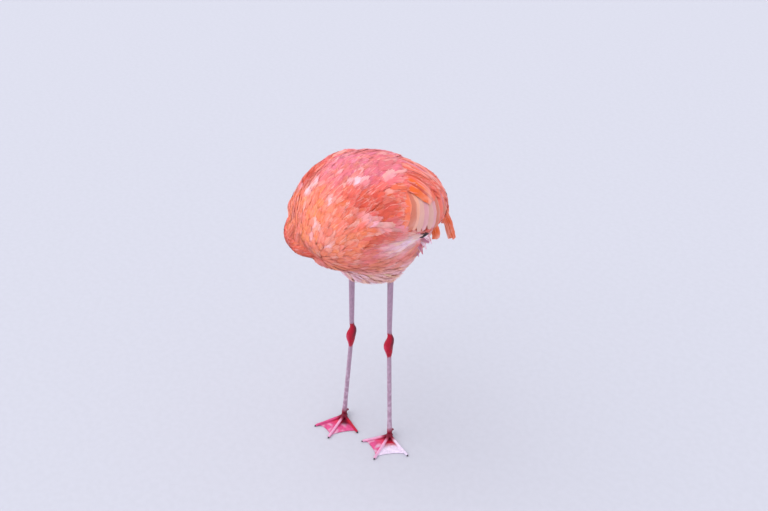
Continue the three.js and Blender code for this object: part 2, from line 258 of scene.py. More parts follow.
class NodeBench:  # short ways to add and join nodes in one tree
    def __init__(self, tree):
        self.nodes, self.links = tree.nodes, tree.links

    def feed(self, socket, value):
        if isinstance(value, bpy.types.NodeSocket):
            self.links.new(value, socket)
        else:
            socket.default_value = value

    def add(self, kind, inputs=(), **ways):  # inputs: what goes into a socket, by its name or number
        node = self.nodes.new("ShaderNode" + kind)
        for key, value in ways.items():
            setattr(node, key, value)
        for socket, value in dict(inputs).items():
            self.feed(node.inputs[socket], value)
        return node.outputs

    def attribute(self, name, output="Fac"):
        return self.add("Attribute", attribute_name=name)[output]

    def maths(self, kind, *values):
        return self.add("Math", enumerate(values), operation=kind)[0]

    def ramp(self, value, low, high, start=0.0, end=1.0):
        inputs = {"Value": value, "From Min": low, "From Max": high, "To Min": start, "To Max": end}
        return self.add("MapRange", inputs, interpolation_type="SMOOTHSTEP")["Result"]

    def mix(self, kind, share, a, b):
        return self.add("Mix", {"Factor": share, 6: a, 7: b}, data_type="RGBA", blend_type=kind)[2]

    def shaded(self, tone, share):
        return self.add("VectorMath", {0: tone, "Scale": share}, operation="SCALE")["Vector"]

    def noise(self, scale, detail=2.0):
        inputs = {"Vector": self.add("TexCoord")["Object"], "Scale": scale, "Detail": detail}
        return self.add("TexNoise", inputs)["Fac"]

    def plates(self, scale):
        inputs = {"Vector": self.add("TexCoord")["Object"], "Scale": scale}
        return self.add("TexVoronoi", inputs, feature="DISTANCE_TO_EDGE")["Distance"]


def newGroup(name, inputs, outputs):
    group = bpy.data.node_groups.new(name, "ShaderNodeTree")
    for direction, sockets in (("INPUT", inputs), ("OUTPUT", outputs)):
        for title, kind in sockets.items():
            group.interface.new_socket(title, in_out=direction, socket_type="NodeSocket" + kind)
    given = group.nodes.new("NodeGroupInput").outputs
    result = group.nodes.new("NodeGroupOutput").inputs
    return group, NodeBench(group), given, result


# the root's tint is the colour of painted shade under overlapping vanes
vaneLook = {"patches": 34, "rootShadeTint": (0.92, 0.60, 0.50, 1), "barbs": 44, "slant": 9, "barbHeight": 0.3}
plateLook = {"clouds": 0.2, "edge": 0.14}  # size of the mottling beside the plates', width of the seams


def vaneDetailGroup():  # a paler fringe, painted shade towards the root and the barbs of a vane
    group, bench, given, result = newGroup(
        "vaneDetail", {"Tone": "Color", "Fringe": "Float", "Root": "Float"},
        {"Color": "Color", "Height": "Float"})
    along = bench.attribute("along")
    aside = bench.maths("ABSOLUTE", bench.attribute("across"))
    patch = bench.ramp(bench.noise(vaneLook["patches"]), 0.35, 0.65)
    fringe = bench.maths("MAXIMUM", bench.ramp(aside, 0.5, 1.05), bench.ramp(along, 0.62, 1.0))
    fringe = bench.maths("MULTIPLY", bench.maths("MULTIPLY", fringe, given["Fringe"]), patch)
    # painted shade: each vane darkens towards its root, where the vanes over it would shade it
    root = bench.maths("MULTIPLY", bench.ramp(along, 0.7, 0.15), given["Root"])
    pale = bench.mix("MIX", fringe, given["Tone"], (*colours["paleTip"], 1))
    bench.feed(result["Color"], bench.mix("MULTIPLY", root, pale, vaneLook["rootShadeTint"]))
    slant = bench.maths("SUBTRACT", bench.maths("MULTIPLY", along, vaneLook["barbs"]),
                        bench.maths("MULTIPLY", aside, vaneLook["slant"]))
    barbs = bench.maths("SINE", bench.maths("MULTIPLY", slant, wholeTurn))
    shaft = bench.ramp(aside, 0.1, 0.0)
    barbs = bench.maths("MULTIPLY", barbs, vaneLook["barbHeight"])
    bench.feed(result["Height"], bench.maths("ADD", barbs, shaft))
    return group


def plateDetailGroup():  # small scales in the bump, mottling in the colour
    group, bench, given, result = newGroup(
        "plateDetail", {"Tone": "Color", "Scale": "Float", "Mottle": "Float"},
        {"Color": "Color", "Height": "Float", "Rough": "Float"})
    cloud = bench.noise(bench.maths("MULTIPLY", given["Scale"], plateLook["clouds"]), 4)
    shade = bench.maths("MULTIPLY_ADD", bench.ramp(cloud, 0.3, 0.7, -1.0, 1.0), given["Mottle"], 1.0)
    bench.feed(result["Color"], bench.shaded(given["Tone"], shade))
    bench.feed(result["Height"], bench.ramp(bench.plates(given["Scale"]), 0.0, plateLook["edge"]))
    bench.feed(result["Rough"], cloud)
    return group


vaneDetail = vaneDetailGroup()
plateDetail = plateDetailGroup()


def newMaterial(name, finish):  # finish: the shader's numbers that are the same all over
    material = bpy.data.materials.new(name)
    material.use_nodes = True
    bench = NodeBench(material.node_tree)
    shader = bench.nodes["Principled BSDF"].inputs
    for title, number in finish.items():
        shader[title].default_value = number
    return material, bench, shader


def addDetail(bench, shader, group, values, bump):  # a detail group between the tone and the shader
    inputs = {"Tone": bench.attribute("tone", "Color")} | values
    detail = bench.add("Group", inputs, node_tree=group)
    strength, distance = bump
    height = bench.add("Bump", {"Strength": strength, "Distance": distance, "Height": detail["Height"]})
    bench.feed(shader["Base Color"], detail["Color"])
    bench.feed(shader["Normal"], height["Normal"])
    return detail


def vaneMaterial(name, fringe, root, roughness, bump):
    finish = {"Roughness": roughness, "Sheen Weight": 0.05, "Sheen Roughness": 0.5, "Specular IOR Level": 0.2}
    material, bench, shader = newMaterial(name, finish)
    addDetail(bench, shader, vaneDetail, {"Fringe": fringe, "Root": root}, (bump, 0.0003))
    return material


def plateMaterial(name, scale, mottle, rough, bump, coat=0.0, shine=0.5):
    finish = {"Coat Weight": coat, "Coat Roughness": 0.2, "Specular IOR Level": shine}
    material, bench, shader = newMaterial(name, finish)
    detail = addDetail(bench, shader, plateDetail, {"Scale": scale, "Mottle": mottle}, bump)
    bench.feed(shader["Roughness"], bench.ramp(detail["Rough"], 0.3, 0.7, *rough))
    return material


vaneFinishes = {  # how pale the fringe is, how deep the painted shade at the root, roughness, bump
    "contourVanes": (0.3, 0.35, 0.75, 0.25),
    "wispVanes": (0.3, 0.1, 0.75, 0.25),
    "softVanes": (0.35, 0.6, 0.75, 0.15),
    "plumeVanes": (0.45, 0.35, 0.6, 0.35),
    "flightVanes": (0.30, 0.1, 0.55, 0.35),
    "blackVanes": (0.0, 0.0, 0.45, 0.35),
}
plateFinishes = {  # plates in a metre, mottling, roughness from and to, bump and its depth, coat, shine
    "coveredSkin": (900, 0.12, (0.45, 0.7), (0.3, 0.0004)),
    "legSkin": (620, 0.10, (0.35, 0.6), (0.35, 0.0004), 0.08, 0.2),
    "clawHorn": (1500, 0.25, (0.3, 0.5), (0.2, 0.0002), 0.3),
    "billHorn": (700, 0.08, (0.3, 0.45), (0.12, 0.0003), 0.35),
    "lidSkin": (2200, 0.12, (0.4, 0.6), (0.4, 0.0002)),
}
materials = {name: vaneMaterial(name, *values) for name, values in vaneFinishes.items()}
materials |= {name: plateMaterial(name, *values) for name, values in plateFinishes.items()}


def finished(piece, material, nodes=()):
    piece.data.materials.clear()
    piece.data.materials.append(materials[material])
    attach(piece, "root")
    if nodes:
        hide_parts(*nodes)
    print(piece.name, len(piece.data.polygons), "faces")


print(len(materials), "materials made")


# where things are on the bird

neckPath = [(-18, -84, 678), (-50, -126, 660), (-108, -98, 643), (-156, -38, 620), (-182, 28, 597),
            (-187, 92, 568), (-182, 148, 538), (-164, 196, 508), (-132, 218, 482), (-98, 190, 460)]
neckLine = curveThrough(atBird(neckPath), 160)
neckAim = unit(np.gradient(neckLine, axis=0))

eyeMiddles = [sum(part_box(node), Vector()) / 2 for node in ("eye_left", "eye_right")]
headForward = Vector((0.26, -0.96, 0.02)).normalized()
headSide = (eyeMiddles[0] - eyeMiddles[1]).normalized()
headCrown = headForward.cross(headSide).normalized()
headOrigin = (eyeMiddles[0] + eyeMiddles[1]) / 2 - 0.002 * headForward - 0.007 * headCrown
headFrame = np.array([headForward, headSide, headCrown])  # rows: to the bill, its left, its crown


def inHead(points):  # millimetres
    return (points - np.array(headOrigin)) @ headFrame.T * 1000


def fromHead(millimetres):
    return np.asarray(millimetres, float) / 1000 @ headFrame + np.array(headOrigin)


def treeOf(nodes):
    verts, faces = [], []
    for node in nodes:
        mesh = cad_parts[node].data
        start = len(verts)
        verts.extend(v.co.copy() for v in mesh.vertices)
        faces.extend([start + i for i in f.vertices] for f in mesh.polygons)
    return BVHTree.FromPolygons(verts, faces)


regionNodes = {
    "trunk": ["trunk"],
    "wing": ["wing_left", "wing_right"],
    "neck": ["neck_base", "neck_middle", "neck_upper"],
    "head": ["head"],
    "thigh": ["thigh_left", "thigh_right"],
}
onTrunk, onWing, onNeck, onHead, onThigh = range(5)
fleshNodes = sum(regionNodes.values(), [])
regionTrees = [treeOf(nodes) for nodes in regionNodes.values()]


def regionOf(points):
    found = np.empty((len(regionTrees), len(points)))
    for i, tree in enumerate(regionTrees):
        found[i] = [tree.find_nearest(p)[3] for p in points.tolist()]
    return found.argmin(0)


# the skin: one closed surface under all the feathers

skinSetup = {
    "voxel": 0.0030, "rounds": 8, "swell": 0.0003,
    "depth": {"trunk": 5.5, "wing": 5.5, "neck": 3.0, "head": 1.4, "thigh": 3.0},
    "bareThinner": 0.8,  # the bare face has so much less depth
    # hollows between trunk, wings and the neck's root up to twice as wide as the fill are closed
    "fill": 0.015, "fillVoxel": 0.004, "fillRounds": 6,
    "fineHead": {"middle": 2, "long": 36, "wide": 32},
    "face": [((0, 15, 13), 6, 0.7), ((-2, 17, -5), 8, 0.9), ((14, 12, 4), 6, -0.6)],  # brow, cheek, lore
    "fullness": [  # at the neck's root and under the breast: place, reach, amount
        ((-99, -127, 690), 24, 6.5), ((-60, -158, 688), 20, 2.0), ((-21, -119, 608), 24, 7.0),
        ((14, -117, 605), 24, 4.0), ((20, -44, 548), 28, 5.0)],
}
neckRoot = {  # over this edge, the first samples of the neck's line wear the breast's feathers
    "samples": 12, "x": (-150, -112, -79, -56, -26, -13, 3, 40),
    "z": (694, 680, 664, 668, 648, 634, 630, 622)}


def shapeFace(places, normals):  # brows, cheeks and hollow lores, on the head's own measures
    local = inHead(places)
    near = np.abs(local[:, 0]) < 40
    local[:, 1] = np.abs(local[:, 1])
    push = sum(amount * nearness(local, middle, reach) for middle, reach, amount in skinSetup["face"])
    return places + normals * (push * near / 1000)[:, None]


def coatRegionOf(points):
    regions = regionOf(points)
    x, y, z = ownPlace(points).T
    above = z > np.interp(x, neckRoot["x"], neckRoot["z"])
    nearRoot = gapsTo(neckLine[::4], points).argmin(1) < neckRoot["samples"]
    regions[(regions == onNeck) & above & nearRoot] = onTrunk
    return regions


def filledBody():
    body = mergedCopy("filled", ("trunk", "wing_left", "wing_right", "neck_base"))
    applied(body, "DISPLACE", strength=skinSetup["fill"], mid_level=0)
    applied(body, "REMESH", mode="VOXEL", voxel_size=skinSetup["fillVoxel"])
    applied(body, "SMOOTH", factor=0.5, iterations=skinSetup["fillRounds"])
    applied(body, "DISPLACE", strength=-skinSetup["fill"], mid_level=0)
    return body


def buildSkin():
    filled = filledBody()
    body = mergedCopy("skin", fleshNodes)
    pickOnly(body, filled)
    bpy.ops.object.join()
    softened(body, skinSetup)
    mesh, fine = body.data, skinSetup["fineHead"]
    local = inHead(vertexArray(mesh))
    pickVertices(body, (np.abs(local[:, 0] - fine["middle"]) < fine["long"])
                 & (np.linalg.norm(local[:, 1:], axis=1) < fine["wide"]))
    bpy.ops.mesh.subdivide(number_cuts=1)
    bpy.ops.mesh.vertices_smooth(factor=0.5, repeat=2)
    bpy.ops.object.mode_set(mode="OBJECT")
    places, normals = vertexArray(mesh), vertexArray(mesh, "normal")
    regions = coatRegionOf(places)
    depths = np.array(list(skinSetup["depth"].values()))[regions] / 1000
    bare = smoothStep(8, 16, inHead(places)[:, 0]) * (regions == onHead)
    places = places - normals * (depths * (1 - skinSetup["bareThinner"] * bare))[:, None]
    for middle, reach, amount in skinSetup["fullness"]:
        places = places + normals * (amount * nearness(ownPlace(places), middle, reach) / 1000)[:, None]
    moveVertices(mesh, shapeFace(places, normals))
    smoothShaded(mesh)
    return body, regions


skin, skinRegions = buildSkin()
skinPlaces = vertexArray(skin.data)
skinNormals = vertexArray(skin.data, "normal")
skinFaces = [list(f.vertices) for f in skin.data.polygons]
skinCorners = np.array([f[:3] + [f[-1]] for f in skinFaces])
skinTree = BVHTree.FromPolygons([Vector(p) for p in skinPlaces], skinFaces)
faceNormals = unit(skinNormals[skinCorners].mean(1))
faceMiddles = skinPlaces[skinCorners].mean(1)
faceRegions = skinRegions[skinCorners[:, 0]]
print("skin", len(skinFaces), "faces")


def ontoSkin(points):
    hits = [skinTree.find_nearest(p) for p in points.tolist()]
    return np.array([h[0] for h in hits]), faceNormals[[h[2] for h in hits]]


# markings and the lie of the coat

highlitPatches = [  # painted highlights, as pale lilac patches: middle, reach
    ((-34, -109, 794), 14), ((50, -64, 807), 12), ((30, -132, 778), 8), ((-41, -133, 772), 11),
    ((59, -153, 712), 6), ((52, -159, 686), 8), ((14, -164, 726), 6), ((9, -171, 695), 7),
    ((87, -5, 800), 11), ((74, 2, 799), 10), ((46, -87, 586), 13), ((45, -56, 558), 14),
    ((46, -28, 542), 14), ((62, -9, 540), 11)]
shoulderPatch = {"middle": (88, -72, 762), "flat": (1.0, 1.0, 0.8), "reach": 62}  # the deepest coral
# the crease under the breast where the neck turns away, darkened with painted shade
creaseLine = curveThrough([(-94, -152, 672), (-79, -164, 666), (-56, -170, 667), (-34, -167, 658),
                           (-26, -162, 649), (-13, -149, 635), (3, -146, 631)], 60)
creaseWide = 5
wingEdge = {"y": (-120, -41, -12, 21, 71), "z": (735, 714, 699, 682, 656)}  # the folded wing's lower edge
flankPatches = {"core": (-6, 62, 658, 30), "vent": (66, 24, 622, 26)}  # middle and reach in y, then in z
flankStreak = {"start": -102, "long": 66, "z": 744, "fall": 29, "half": 12}
flankEnd = (137, 62, 655)  # where the flank's feathers meet over the black wing tips


def flankShare(own):  # the soft pale feathers below the folded wing, and a streak before it
    x, y, z = own.T
    core, vent = (bell(y - atY, reachY) * bell(z - atZ, reachZ)
                  for atY, reachY, atZ, reachZ in flankPatches.values())
    core *= 1.15 * smoothStep(6, -16, z - np.interp(y, wingEdge["y"], wingEdge["z"]))
    along = np.clip((y - flankStreak["start"]) / flankStreak["long"], 0, 1)
    streak = bell(z - flankStreak["z"] + flankStreak["fall"] * along, flankStreak["half"])
    streak = 0.5 * streak * smoothStep(-120, -95, y) * smoothStep(-20, -40, y)
    return np.clip(np.maximum(np.maximum(core, streak), 0.9 * vent), 0, 1) * smoothStep(50, 90, np.abs(x))


def markingAt(points, regions, roots=None):  # painted shade of the crease falls on vanes with their roots by it
    own = ownPlace(points)
    x, y, z = own.T
    shoulder = (np.c_[np.abs(x), y, z] - shoulderPatch["middle"]) / shoulderPatch["flat"]
    shoulder = bell(np.linalg.norm(shoulder, axis=1), shoulderPatch["reach"])
    tone = layered(
        np.tile(colours["coral"], (len(points), 1)), colours,
        ("breast", 0.9 * smoothStep(-85, -140, y)),
        ("deepCoral", 0.95 * shoulder),
        ("pink", 0.8 * smoothStep(780, 812, z)),
        ("salmon", 0.8 * smoothStep(640, 600, z)),
        ("paleTip", 0.75 * smoothStep(605, 565, z)),
        ("lilac", 0.95 * flankShare(own)),
        ("shank", smoothStep(533, 526, z) * (regions == onThigh)))
    isNeck = np.isin(regions, (onNeck, onHead))
    tone[isNeck] = blend(colours["orange"], colours["coral"], smoothStep(540, 660, z))[isNeck]
    creaseGap = gapsTo(creaseLine, own if roots is None else ownPlace(roots)).min(1)
    face = (regions == onHead) * smoothStep(6, 17, inHead(points)[:, 0])
    # painted shade: a brown-red darkening along the crease
    return layered(tone, colours, ("creaseShade", 0.75 * bell(creaseGap, creaseWide)), ("bareFace", 0.9 * face))


lie = {
    "crease": ((-95, -150, 652), (4, -144, 622)),  # where the neck turns away under the breast
    "rootReach": 130, "rootPull": 1.8, "rootHold": 0.6,
    "shoulderFall": 1.0, "rumpFall": 0.5, "flankPull": 0.9,
}


def creasePlace(own):  # the nearest place on the crease
    low, high = (np.array(end, float) for end in lie["crease"])
    share = np.clip((own - low) @ (high - low) / ((high - low) @ (high - low)), 0, 1)
    return low + share[:, None] * (high - low)


def flowAt(points, normals, regions):
    own = ownPlace(points)
    x, y, z = own.T
    away = own - creasePlace(own)
    near = bell(np.linalg.norm(away, axis=1), lie["rootReach"])[:, None]
    flow = unit(away) * lie["rootPull"] * near + np.array([0, 1.0, 0]) * (1 - lie["rootHold"] * near)
    edge = np.interp(y, wingEdge["y"], wingEdge["z"])
    onSide = smoothStep(70, 120, np.abs(x))
    flow[:, 2] -= lie["shoulderFall"] * onSide * smoothStep(-70, 10, y) * smoothStep(edge - 5, edge + 25, z)
    flow[:, 2] -= lie["rumpFall"] * smoothStep(80, 180, y)
    # on the flank all lie towards one place, over the black wing tips
    toEnd = np.array(flankEnd, float) * np.c_[np.sign(x), np.ones(len(x)), np.ones(len(x))] - own
    gap = np.linalg.norm(toEnd, axis=1)
    flank = onSide * smoothStep(edge + 22, edge - 2, z) * smoothStep(-120, -75, y) * smoothStep(575, 625, z)
    flank *= smoothStep(55, 25, y) * smoothStep(15, 45, gap)
    flow = blend(unit(flow), unit(toEnd), lie["flankPull"] * flank)
    neck = regions == onNeck
    if neck.any():
        flow[neck] = -neckAim[gapsTo(neckLine, points[neck]).argmin(1)]
    flow[regions == onHead] = -np.array(headForward)
    flow[regions == onThigh] = (0, 0.1, -1)
    flow -= normals * (flow * normals).sum(1)[:, None]
    return unit(flow)


# vanes

vaneShapes = {  # half widths from root to tip, as shares of the widest
    "contour": [0.3, 0.72, 0.94, 1.0, 0.98, 0.86, 0.62, 0.25],
    "wisp": [0.55, 1.0, 0.7, 0.1],
    "small": [0.3, 0.85, 1.0, 0.8, 0.3],
    "lance": [0.2, 0.5, 0.75, 0.92, 1.0, 1.0, 0.96, 0.88, 0.75, 0.56, 0.34, 0.08],
    "flight": [0.2, 0.6, 0.85, 0.95, 1.0, 1.0, 1.0, 0.99, 0.97, 0.9, 0.74, 0.35],
    "plume": [0.3, 0.55, 0.72, 0.85, 0.94, 1.0, 1.0, 1.0, 0.98, 0.94, 0.86, 0.7],
}
vaneSetup = {"thickness": 0.03, "camber": 0.05, "round": 0.22, "patch": 0.003}  # patch: on the unwrap
# how a set of vanes is laid unless it says otherwise
vaneWays = {"ragged": 0.05, "wave": 0.2, "roll": 0.08, "tilt": 0.0, "soft": 0.75, "rootTone": None}


def modelVane(name, outline):
    # a thin rod, cut into rows, then flattened and widened row by row
    rows = len(outline) - 1
    pickOnly()
    bpy.ops.mesh.primitive_cylinder_add(
        vertices=3 if name == "wisp" else 4, radius=1, depth=1, location=(0, 0, 0.5))
    rod = settled(name)
    bpy.ops.object.mode_set(mode="EDIT")
    for row in range(1, rows):
        bpy.ops.mesh.select_all(action="SELECT")
        bpy.ops.mesh.bisect(plane_co=(0, 0, row / rows), plane_no=(0, 0, 1))
    bpy.ops.object.mode_set(mode="OBJECT")
    for row, half in enumerate(outline):
        pickVertices(rod, np.abs(vertexArray(rod.data)[:, 2] - row / rows) < 0.001)
        bpy.ops.transform.resize(value=(half, vaneSetup["thickness"] * (0.4 + half), 1),
                                 center_override=(0, 0, row / rows))
        bpy.ops.object.mode_set(mode="OBJECT")
    shape = vertexArray(rod.data)
    faces = [list(f.vertices) for f in rod.data.polygons]
    quads = np.array([f for f in faces if len(f) == 4])
    vane = {
        "row": np.rint(shape[:, 2] * rows).astype(int), "rows": rows, "across": shape[:, 0],
        "height": shape[:, 1] - vaneSetup["camber"] * shape[:, 0] ** 2,
        "rim": np.abs(shape[:, 0]) > 0.0001, "quads": quads, "upper": shape[quads, 1].mean(1) > 0,
        "caps": np.array([f for f in faces if len(f) == 3], int).reshape(-1, 3),
    }
    bpy.data.objects.remove(rod)
    return vane


vanes = {name: modelVane(name, outline) for name, outline in vaneShapes.items()}


def makeVanes(name, vaneName, lines, normals, halfWidth, tone, roots, material, slot, nodes=(), **ways):
    # lines and normals hold each vane's rows; roots are its places on the unwrap, 0 to 1
    ways, vane = vaneWays | ways, vanes[vaneName]
    count, rows = lines.shape[:2]
    aim = unit(np.gradient(lines, axis=1))
    side = unit(np.cross(normals, aim))
    up = np.cross(aim, side)
    roll = (ways["tilt"] + ways["roll"] * dice.standard_normal(count))[:, None, None]
    side, up = unit(side + up * roll), unit(up - side * roll)
    share = np.linspace(0, 1, rows)[None]
    sway = np.sin(wholeTurn * (0.8 * share + dice.random((count, 1))))
    sway = sway * share * ways["wave"] * halfWidth[:, None]
    lines = lines + side * sway[..., None]
    row, across, height = vane["row"], vane["across"], vane["height"]
    size = len(row)
    wide = halfWidth[:, None] * (1 + ways["ragged"] * dice.standard_normal((count, size)))
    places = (lines[:, row] + side[:, row] * (across * wide)[..., None]
              + up[:, row] * (height * halfWidth[:, None])[..., None])
    first = (np.arange(count) * size)[:, None, None]
    quads = (vane["quads"][None] + first).reshape(-1, 4)
    caps = (vane["caps"][None] + first).reshape(-1, 3)
    corners = np.concatenate([quads.ravel(), caps.ravel()])
    mesh = bpy.data.meshes.new(name)
    mesh.from_pydata(places.reshape(-1, 3).tolist(), [], quads.tolist() + caps.tolist())
    rim = np.tile(vane["rim"], count)[np.array(mesh.edge_keys)].all(1)
    crease = mesh.attributes.new("sharp_edge", "BOOLEAN", "EDGE")
    crease.data.foreach_set("value", rim)
    smoothShaded(mesh)
    # soft feathers take their shading mostly from the body's form under them
    shade = blend(up[:, row], normals[:, row], ways["soft"])
    shade = unit(shade + side[:, row] * (across * vaneSetup["round"])[:, None]).reshape(-1, 3)
    sign = np.tile(np.repeat(np.where(vane["upper"], 1.0, -1.0), 4), count)
    sign = np.concatenate([sign, np.ones(caps.size)])
    mesh.normals_split_custom_set(shade[corners] * sign[:, None])
    along = row / (rows - 1)
    for title, values in (("along", along), ("across", across)):
        paint(mesh, title, np.tile(values, count))
    shown = np.repeat(tone, size, axis=0)
    if ways["rootTone"] is not None:
        fromRoot = np.tile(smoothStep(0.05, 0.45, along), count)
        shown = blend(np.repeat(ways["rootTone"], size, axis=0), shown, fromRoot)
    paint(mesh, "tone", shown)
    centres = np.repeat(0.01 + 0.98 * np.clip(roots, 0, 1), size, axis=0)
    spread = np.tile(np.c_[across * 0.5, along - 0.5] * vaneSetup["patch"], (count, 1))
    layer = mesh.uv_layers.new(name="OFBake")
    layer.data.foreach_set("uv", (centres + spread)[corners].astype("f").ravel())
    piece = bpy.data.objects.new(name, mesh)
    bpy.context.scene.collection.objects.link(piece)
    print(name, count, "vanes")
    finished(piece, material, nodes)


def walk(starts, regions, lengths, rows, low, high, turn):
    # each vane lies along the skin from its root and rises from low to high over it
    lines = np.empty((len(starts), rows + 1, 3))
    normals = np.empty_like(lines)
    places, faceUp = ontoSkin(starts)
    for k in range(rows + 1):
        rise = low + (high - low) * (k / rows) ** 0.7
        lines[:, k] = places + faceUp * rise[:, None]
        normals[:, k] = faceUp
        flow = flowAt(places, faceUp, regions)
        flow = unit(flow + np.cross(faceUp, flow) * turn[:, None])
        places, faceUp = ontoSkin(places + flow * (lengths / rows)[:, None])
    return lines, normals


def scatter(chosen, spacingAt, seed, tries):
    # evenly spread places on the chosen faces of the skin
    wanted = np.flatnonzero(chosen)
    roll = np.random.default_rng(seed)
    a, b, c, d = (skinPlaces[skinCorners[wanted, k]] for k in range(4))
    area = np.linalg.norm(np.cross(b - a, d - a), axis=1)
    picked = roll.choice(len(wanted), tries, p=area / area.sum())
    u, v = roll.random((2, tries, 1))
    points = a[picked] * (1 - u) * (1 - v) + b[picked] * u * (1 - v)
    points = points + c[picked] * u * v + d[picked] * (1 - u) * v
    spacing = spacingAt(points)
    keys = np.floor(points / spacing.max()).astype(int).tolist()
    near = [(i, j, k) for i in (-1, 0, 1) for j in (-1, 0, 1) for k in (-1, 0, 1)]
    kept, filled = [], {}
    for number, ((i, j, k), point) in enumerate(zip(keys, points.tolist())):
        others = (q for dx, dy, dz in near for q in filled.get((i + dx, j + dy, k + dz), ()))
        if all(math.dist(q, point) >= spacing[number] for q in others):
            kept.append(number)
            filled.setdefault((i, j, k), []).append(point)
    return points[kept]


# the unwrap of the skin's own shape: round and along the trunk, the neck, the head

unwrap = {"trunkHeight": 660, "trunkFront": -185, "trunkLong": 480, "headBack": -60, "headLong": 100}


def turnShare(a, b):
    return np.arctan2(a, b) / (2 * np.pi) + 0.5


def aroundTrunk(points):
    x, y, z = ownPlace(points).T
    along = (y - unwrap["trunkFront"]) / unwrap["trunkLong"]
    return np.clip(np.c_[turnShare(x, z - unwrap["trunkHeight"]), along], 0, 1)


def aroundNeck(points):
    nearest = gapsTo(neckLine, points).argmin(1)
    out, aim = points - neckLine[nearest], neckAim[nearest]
    level = unit(np.cross(aim, np.array([0, 0, 1.0])))
    angle = turnShare((out * np.cross(level, aim)).sum(1), (out * level).sum(1))
    return np.c_[angle, nearest / len(neckLine)]


def aroundHead(points):
    x, y, z = inHead(points).T
    return np.clip(np.c_[turnShare(y, z), (x - unwrap["headBack"]) / unwrap["headLong"]], 0, 1)


drifts = {"scale": 60, "amount": 1.6, "each": 0.6, "warmScale": 75, "warmTint": (1.0, 1.18, 0.72),
          "coolTint": (1.0, 1.05, 1.5), "highlitShare": 0.85, "highlit": 0.8}


def varied(tone, starts, shown, spread, paleShare):
    # each vane a little lighter or darker in drifts, some bleached at random, and painted highlights laid on
    # some by where they show
    count = len(tone)
    drift = drifts["amount"] * noiseAt(starts, drifts["scale"])[:, None]
    tone = tone * (1 + spread * (dice.standard_normal((count, 1)) * drifts["each"] + drift))
    warm = np.clip(noiseAt(starts, drifts["warmScale"], 7.3) * 2.2, -1, 1)
    for tint, share, warmth in ((drifts["warmTint"], 0.7, warm), (drifts["coolTint"], 0.6, -warm)):
        tone = blend(tone, tone * np.array(tint), np.clip(warmth, 0, 1) * share)
    bleached = (dice.random(count) < paleShare) * dice.uniform(0.1, 0.5, count)
    # painted highlights: pale lilac laid over the vanes near the listed patches
    highlit = np.zeros(count)
    for middle, reach in highlitPatches:
        here = drifts["highlit"] * nearness(ownPlace(shown), middle, reach)
        highlit = np.maximum(highlit, here * (dice.random(count) < drifts["highlitShare"]))
    return np.clip(layered(tone, colours, ("paleTip", bleached), ("lilac", highlit)), 0, 1)


paint(skin.data, "tone", markingAt(skinPlaces, skinRegions))
finished(skin, "coveredSkin", fleshNodes)


# long feathers are laid in fans from one guide to the next, on both sides

fanWays = {"tiers": 1, "step": 0, "stack": -0.2, "tilt": 0.1, "mixed": False, "face": None, "loose": 0.02,
           "material": "plumeVanes", "slot": "plume"}
fans = {
    "secondaries": fanWays | {
        "guides": [[(94, 2, 797), (119, -1, 777), (134, -6, 756), (142, -15, 733), (143, -22, 704)],
                   [(118, 33, 776), (129, 49, 755), (139, 56, 733), (144, 56, 704), (140, 56, 662)],
                   [(96, 134, 741), (108, 142, 717), (114, 148, 689), (112, 150, 661), (104, 150, 632)]],
        "count": 10, "half": 13.0, "low": 0.6, "high": 4.4,
        "tones": ("orange", "rust", "peach", "beige", "mauve", "beige", "mauve", "rust", "coral", "rust"),
        "vane": "flight", "material": "flightVanes", "slot": "flight_feather"},
    "blades": fanWays | {
        "guides": [[(91, -6, 792), (105, 13, 784), (118, 28, 771), (127, 46, 752), (133, 70, 730)],
                   [(68, 8, 799), (80, 36, 795), (94, 60, 782), (111, 80, 760), (124, 100, 724)]],
        "count": 5, "half": 9.0, "low": 1.0, "high": 7.6, "tilt": 0.12,
        "tones": ("flame", "deepCoral", "flame", "coral", "deepCoral"), "vane": "plume"},
    "scapulars": fanWays | {
        "guides": [
            [(51, 14, 812), (56, 69, 796), (81, 92, 778), (98, 117, 753), (114, 131, 720), (121, 137, 685)],
            [(24, 43, 815), (41, 82, 798), (56, 130, 762), (82, 148, 735), (99, 158, 705), (104, 160, 672)],
            [(8, 70, 806), (18, 110, 783), (40, 150, 748), (62, 176, 715), (84, 188, 680), (84, 192, 652)]],
        "count": 11, "tiers": 3, "step": 26, "half": 8.5, "low": 0.2, "high": 3.6, "stack": -0.05,
        "tones": ("coral", "salmon", "coral", "pink", "deepCoral", "salmon"), "vane": "lance",
        "mixed": True, "loose": 0.03},
    "vent": fanWays | {  # loose plumes that hang over the thigh behind the wing tips
        "guides": [[(110, 30, 655), (113, 44, 628), (112, 56, 604), (108, 66, 580)],
                   [(118, 50, 668), (125, 63, 648), (128, 76, 633), (128, 84, 616)]],
        "count": 4, "tiers": 3, "step": 26, "half": 6.0, "low": 0.0, "high": 1.0, "stack": 0.8,
        "tones": ("pink", "orchid", "mauve", "lilac"), "vane": "contour", "mixed": True,
        "face": (1.0, 0.35, 0.1), "loose": 0.12},
}
fanSetup = {"tierHigher": 1.3, "long": 140, "finely": 100, "samples": 40}


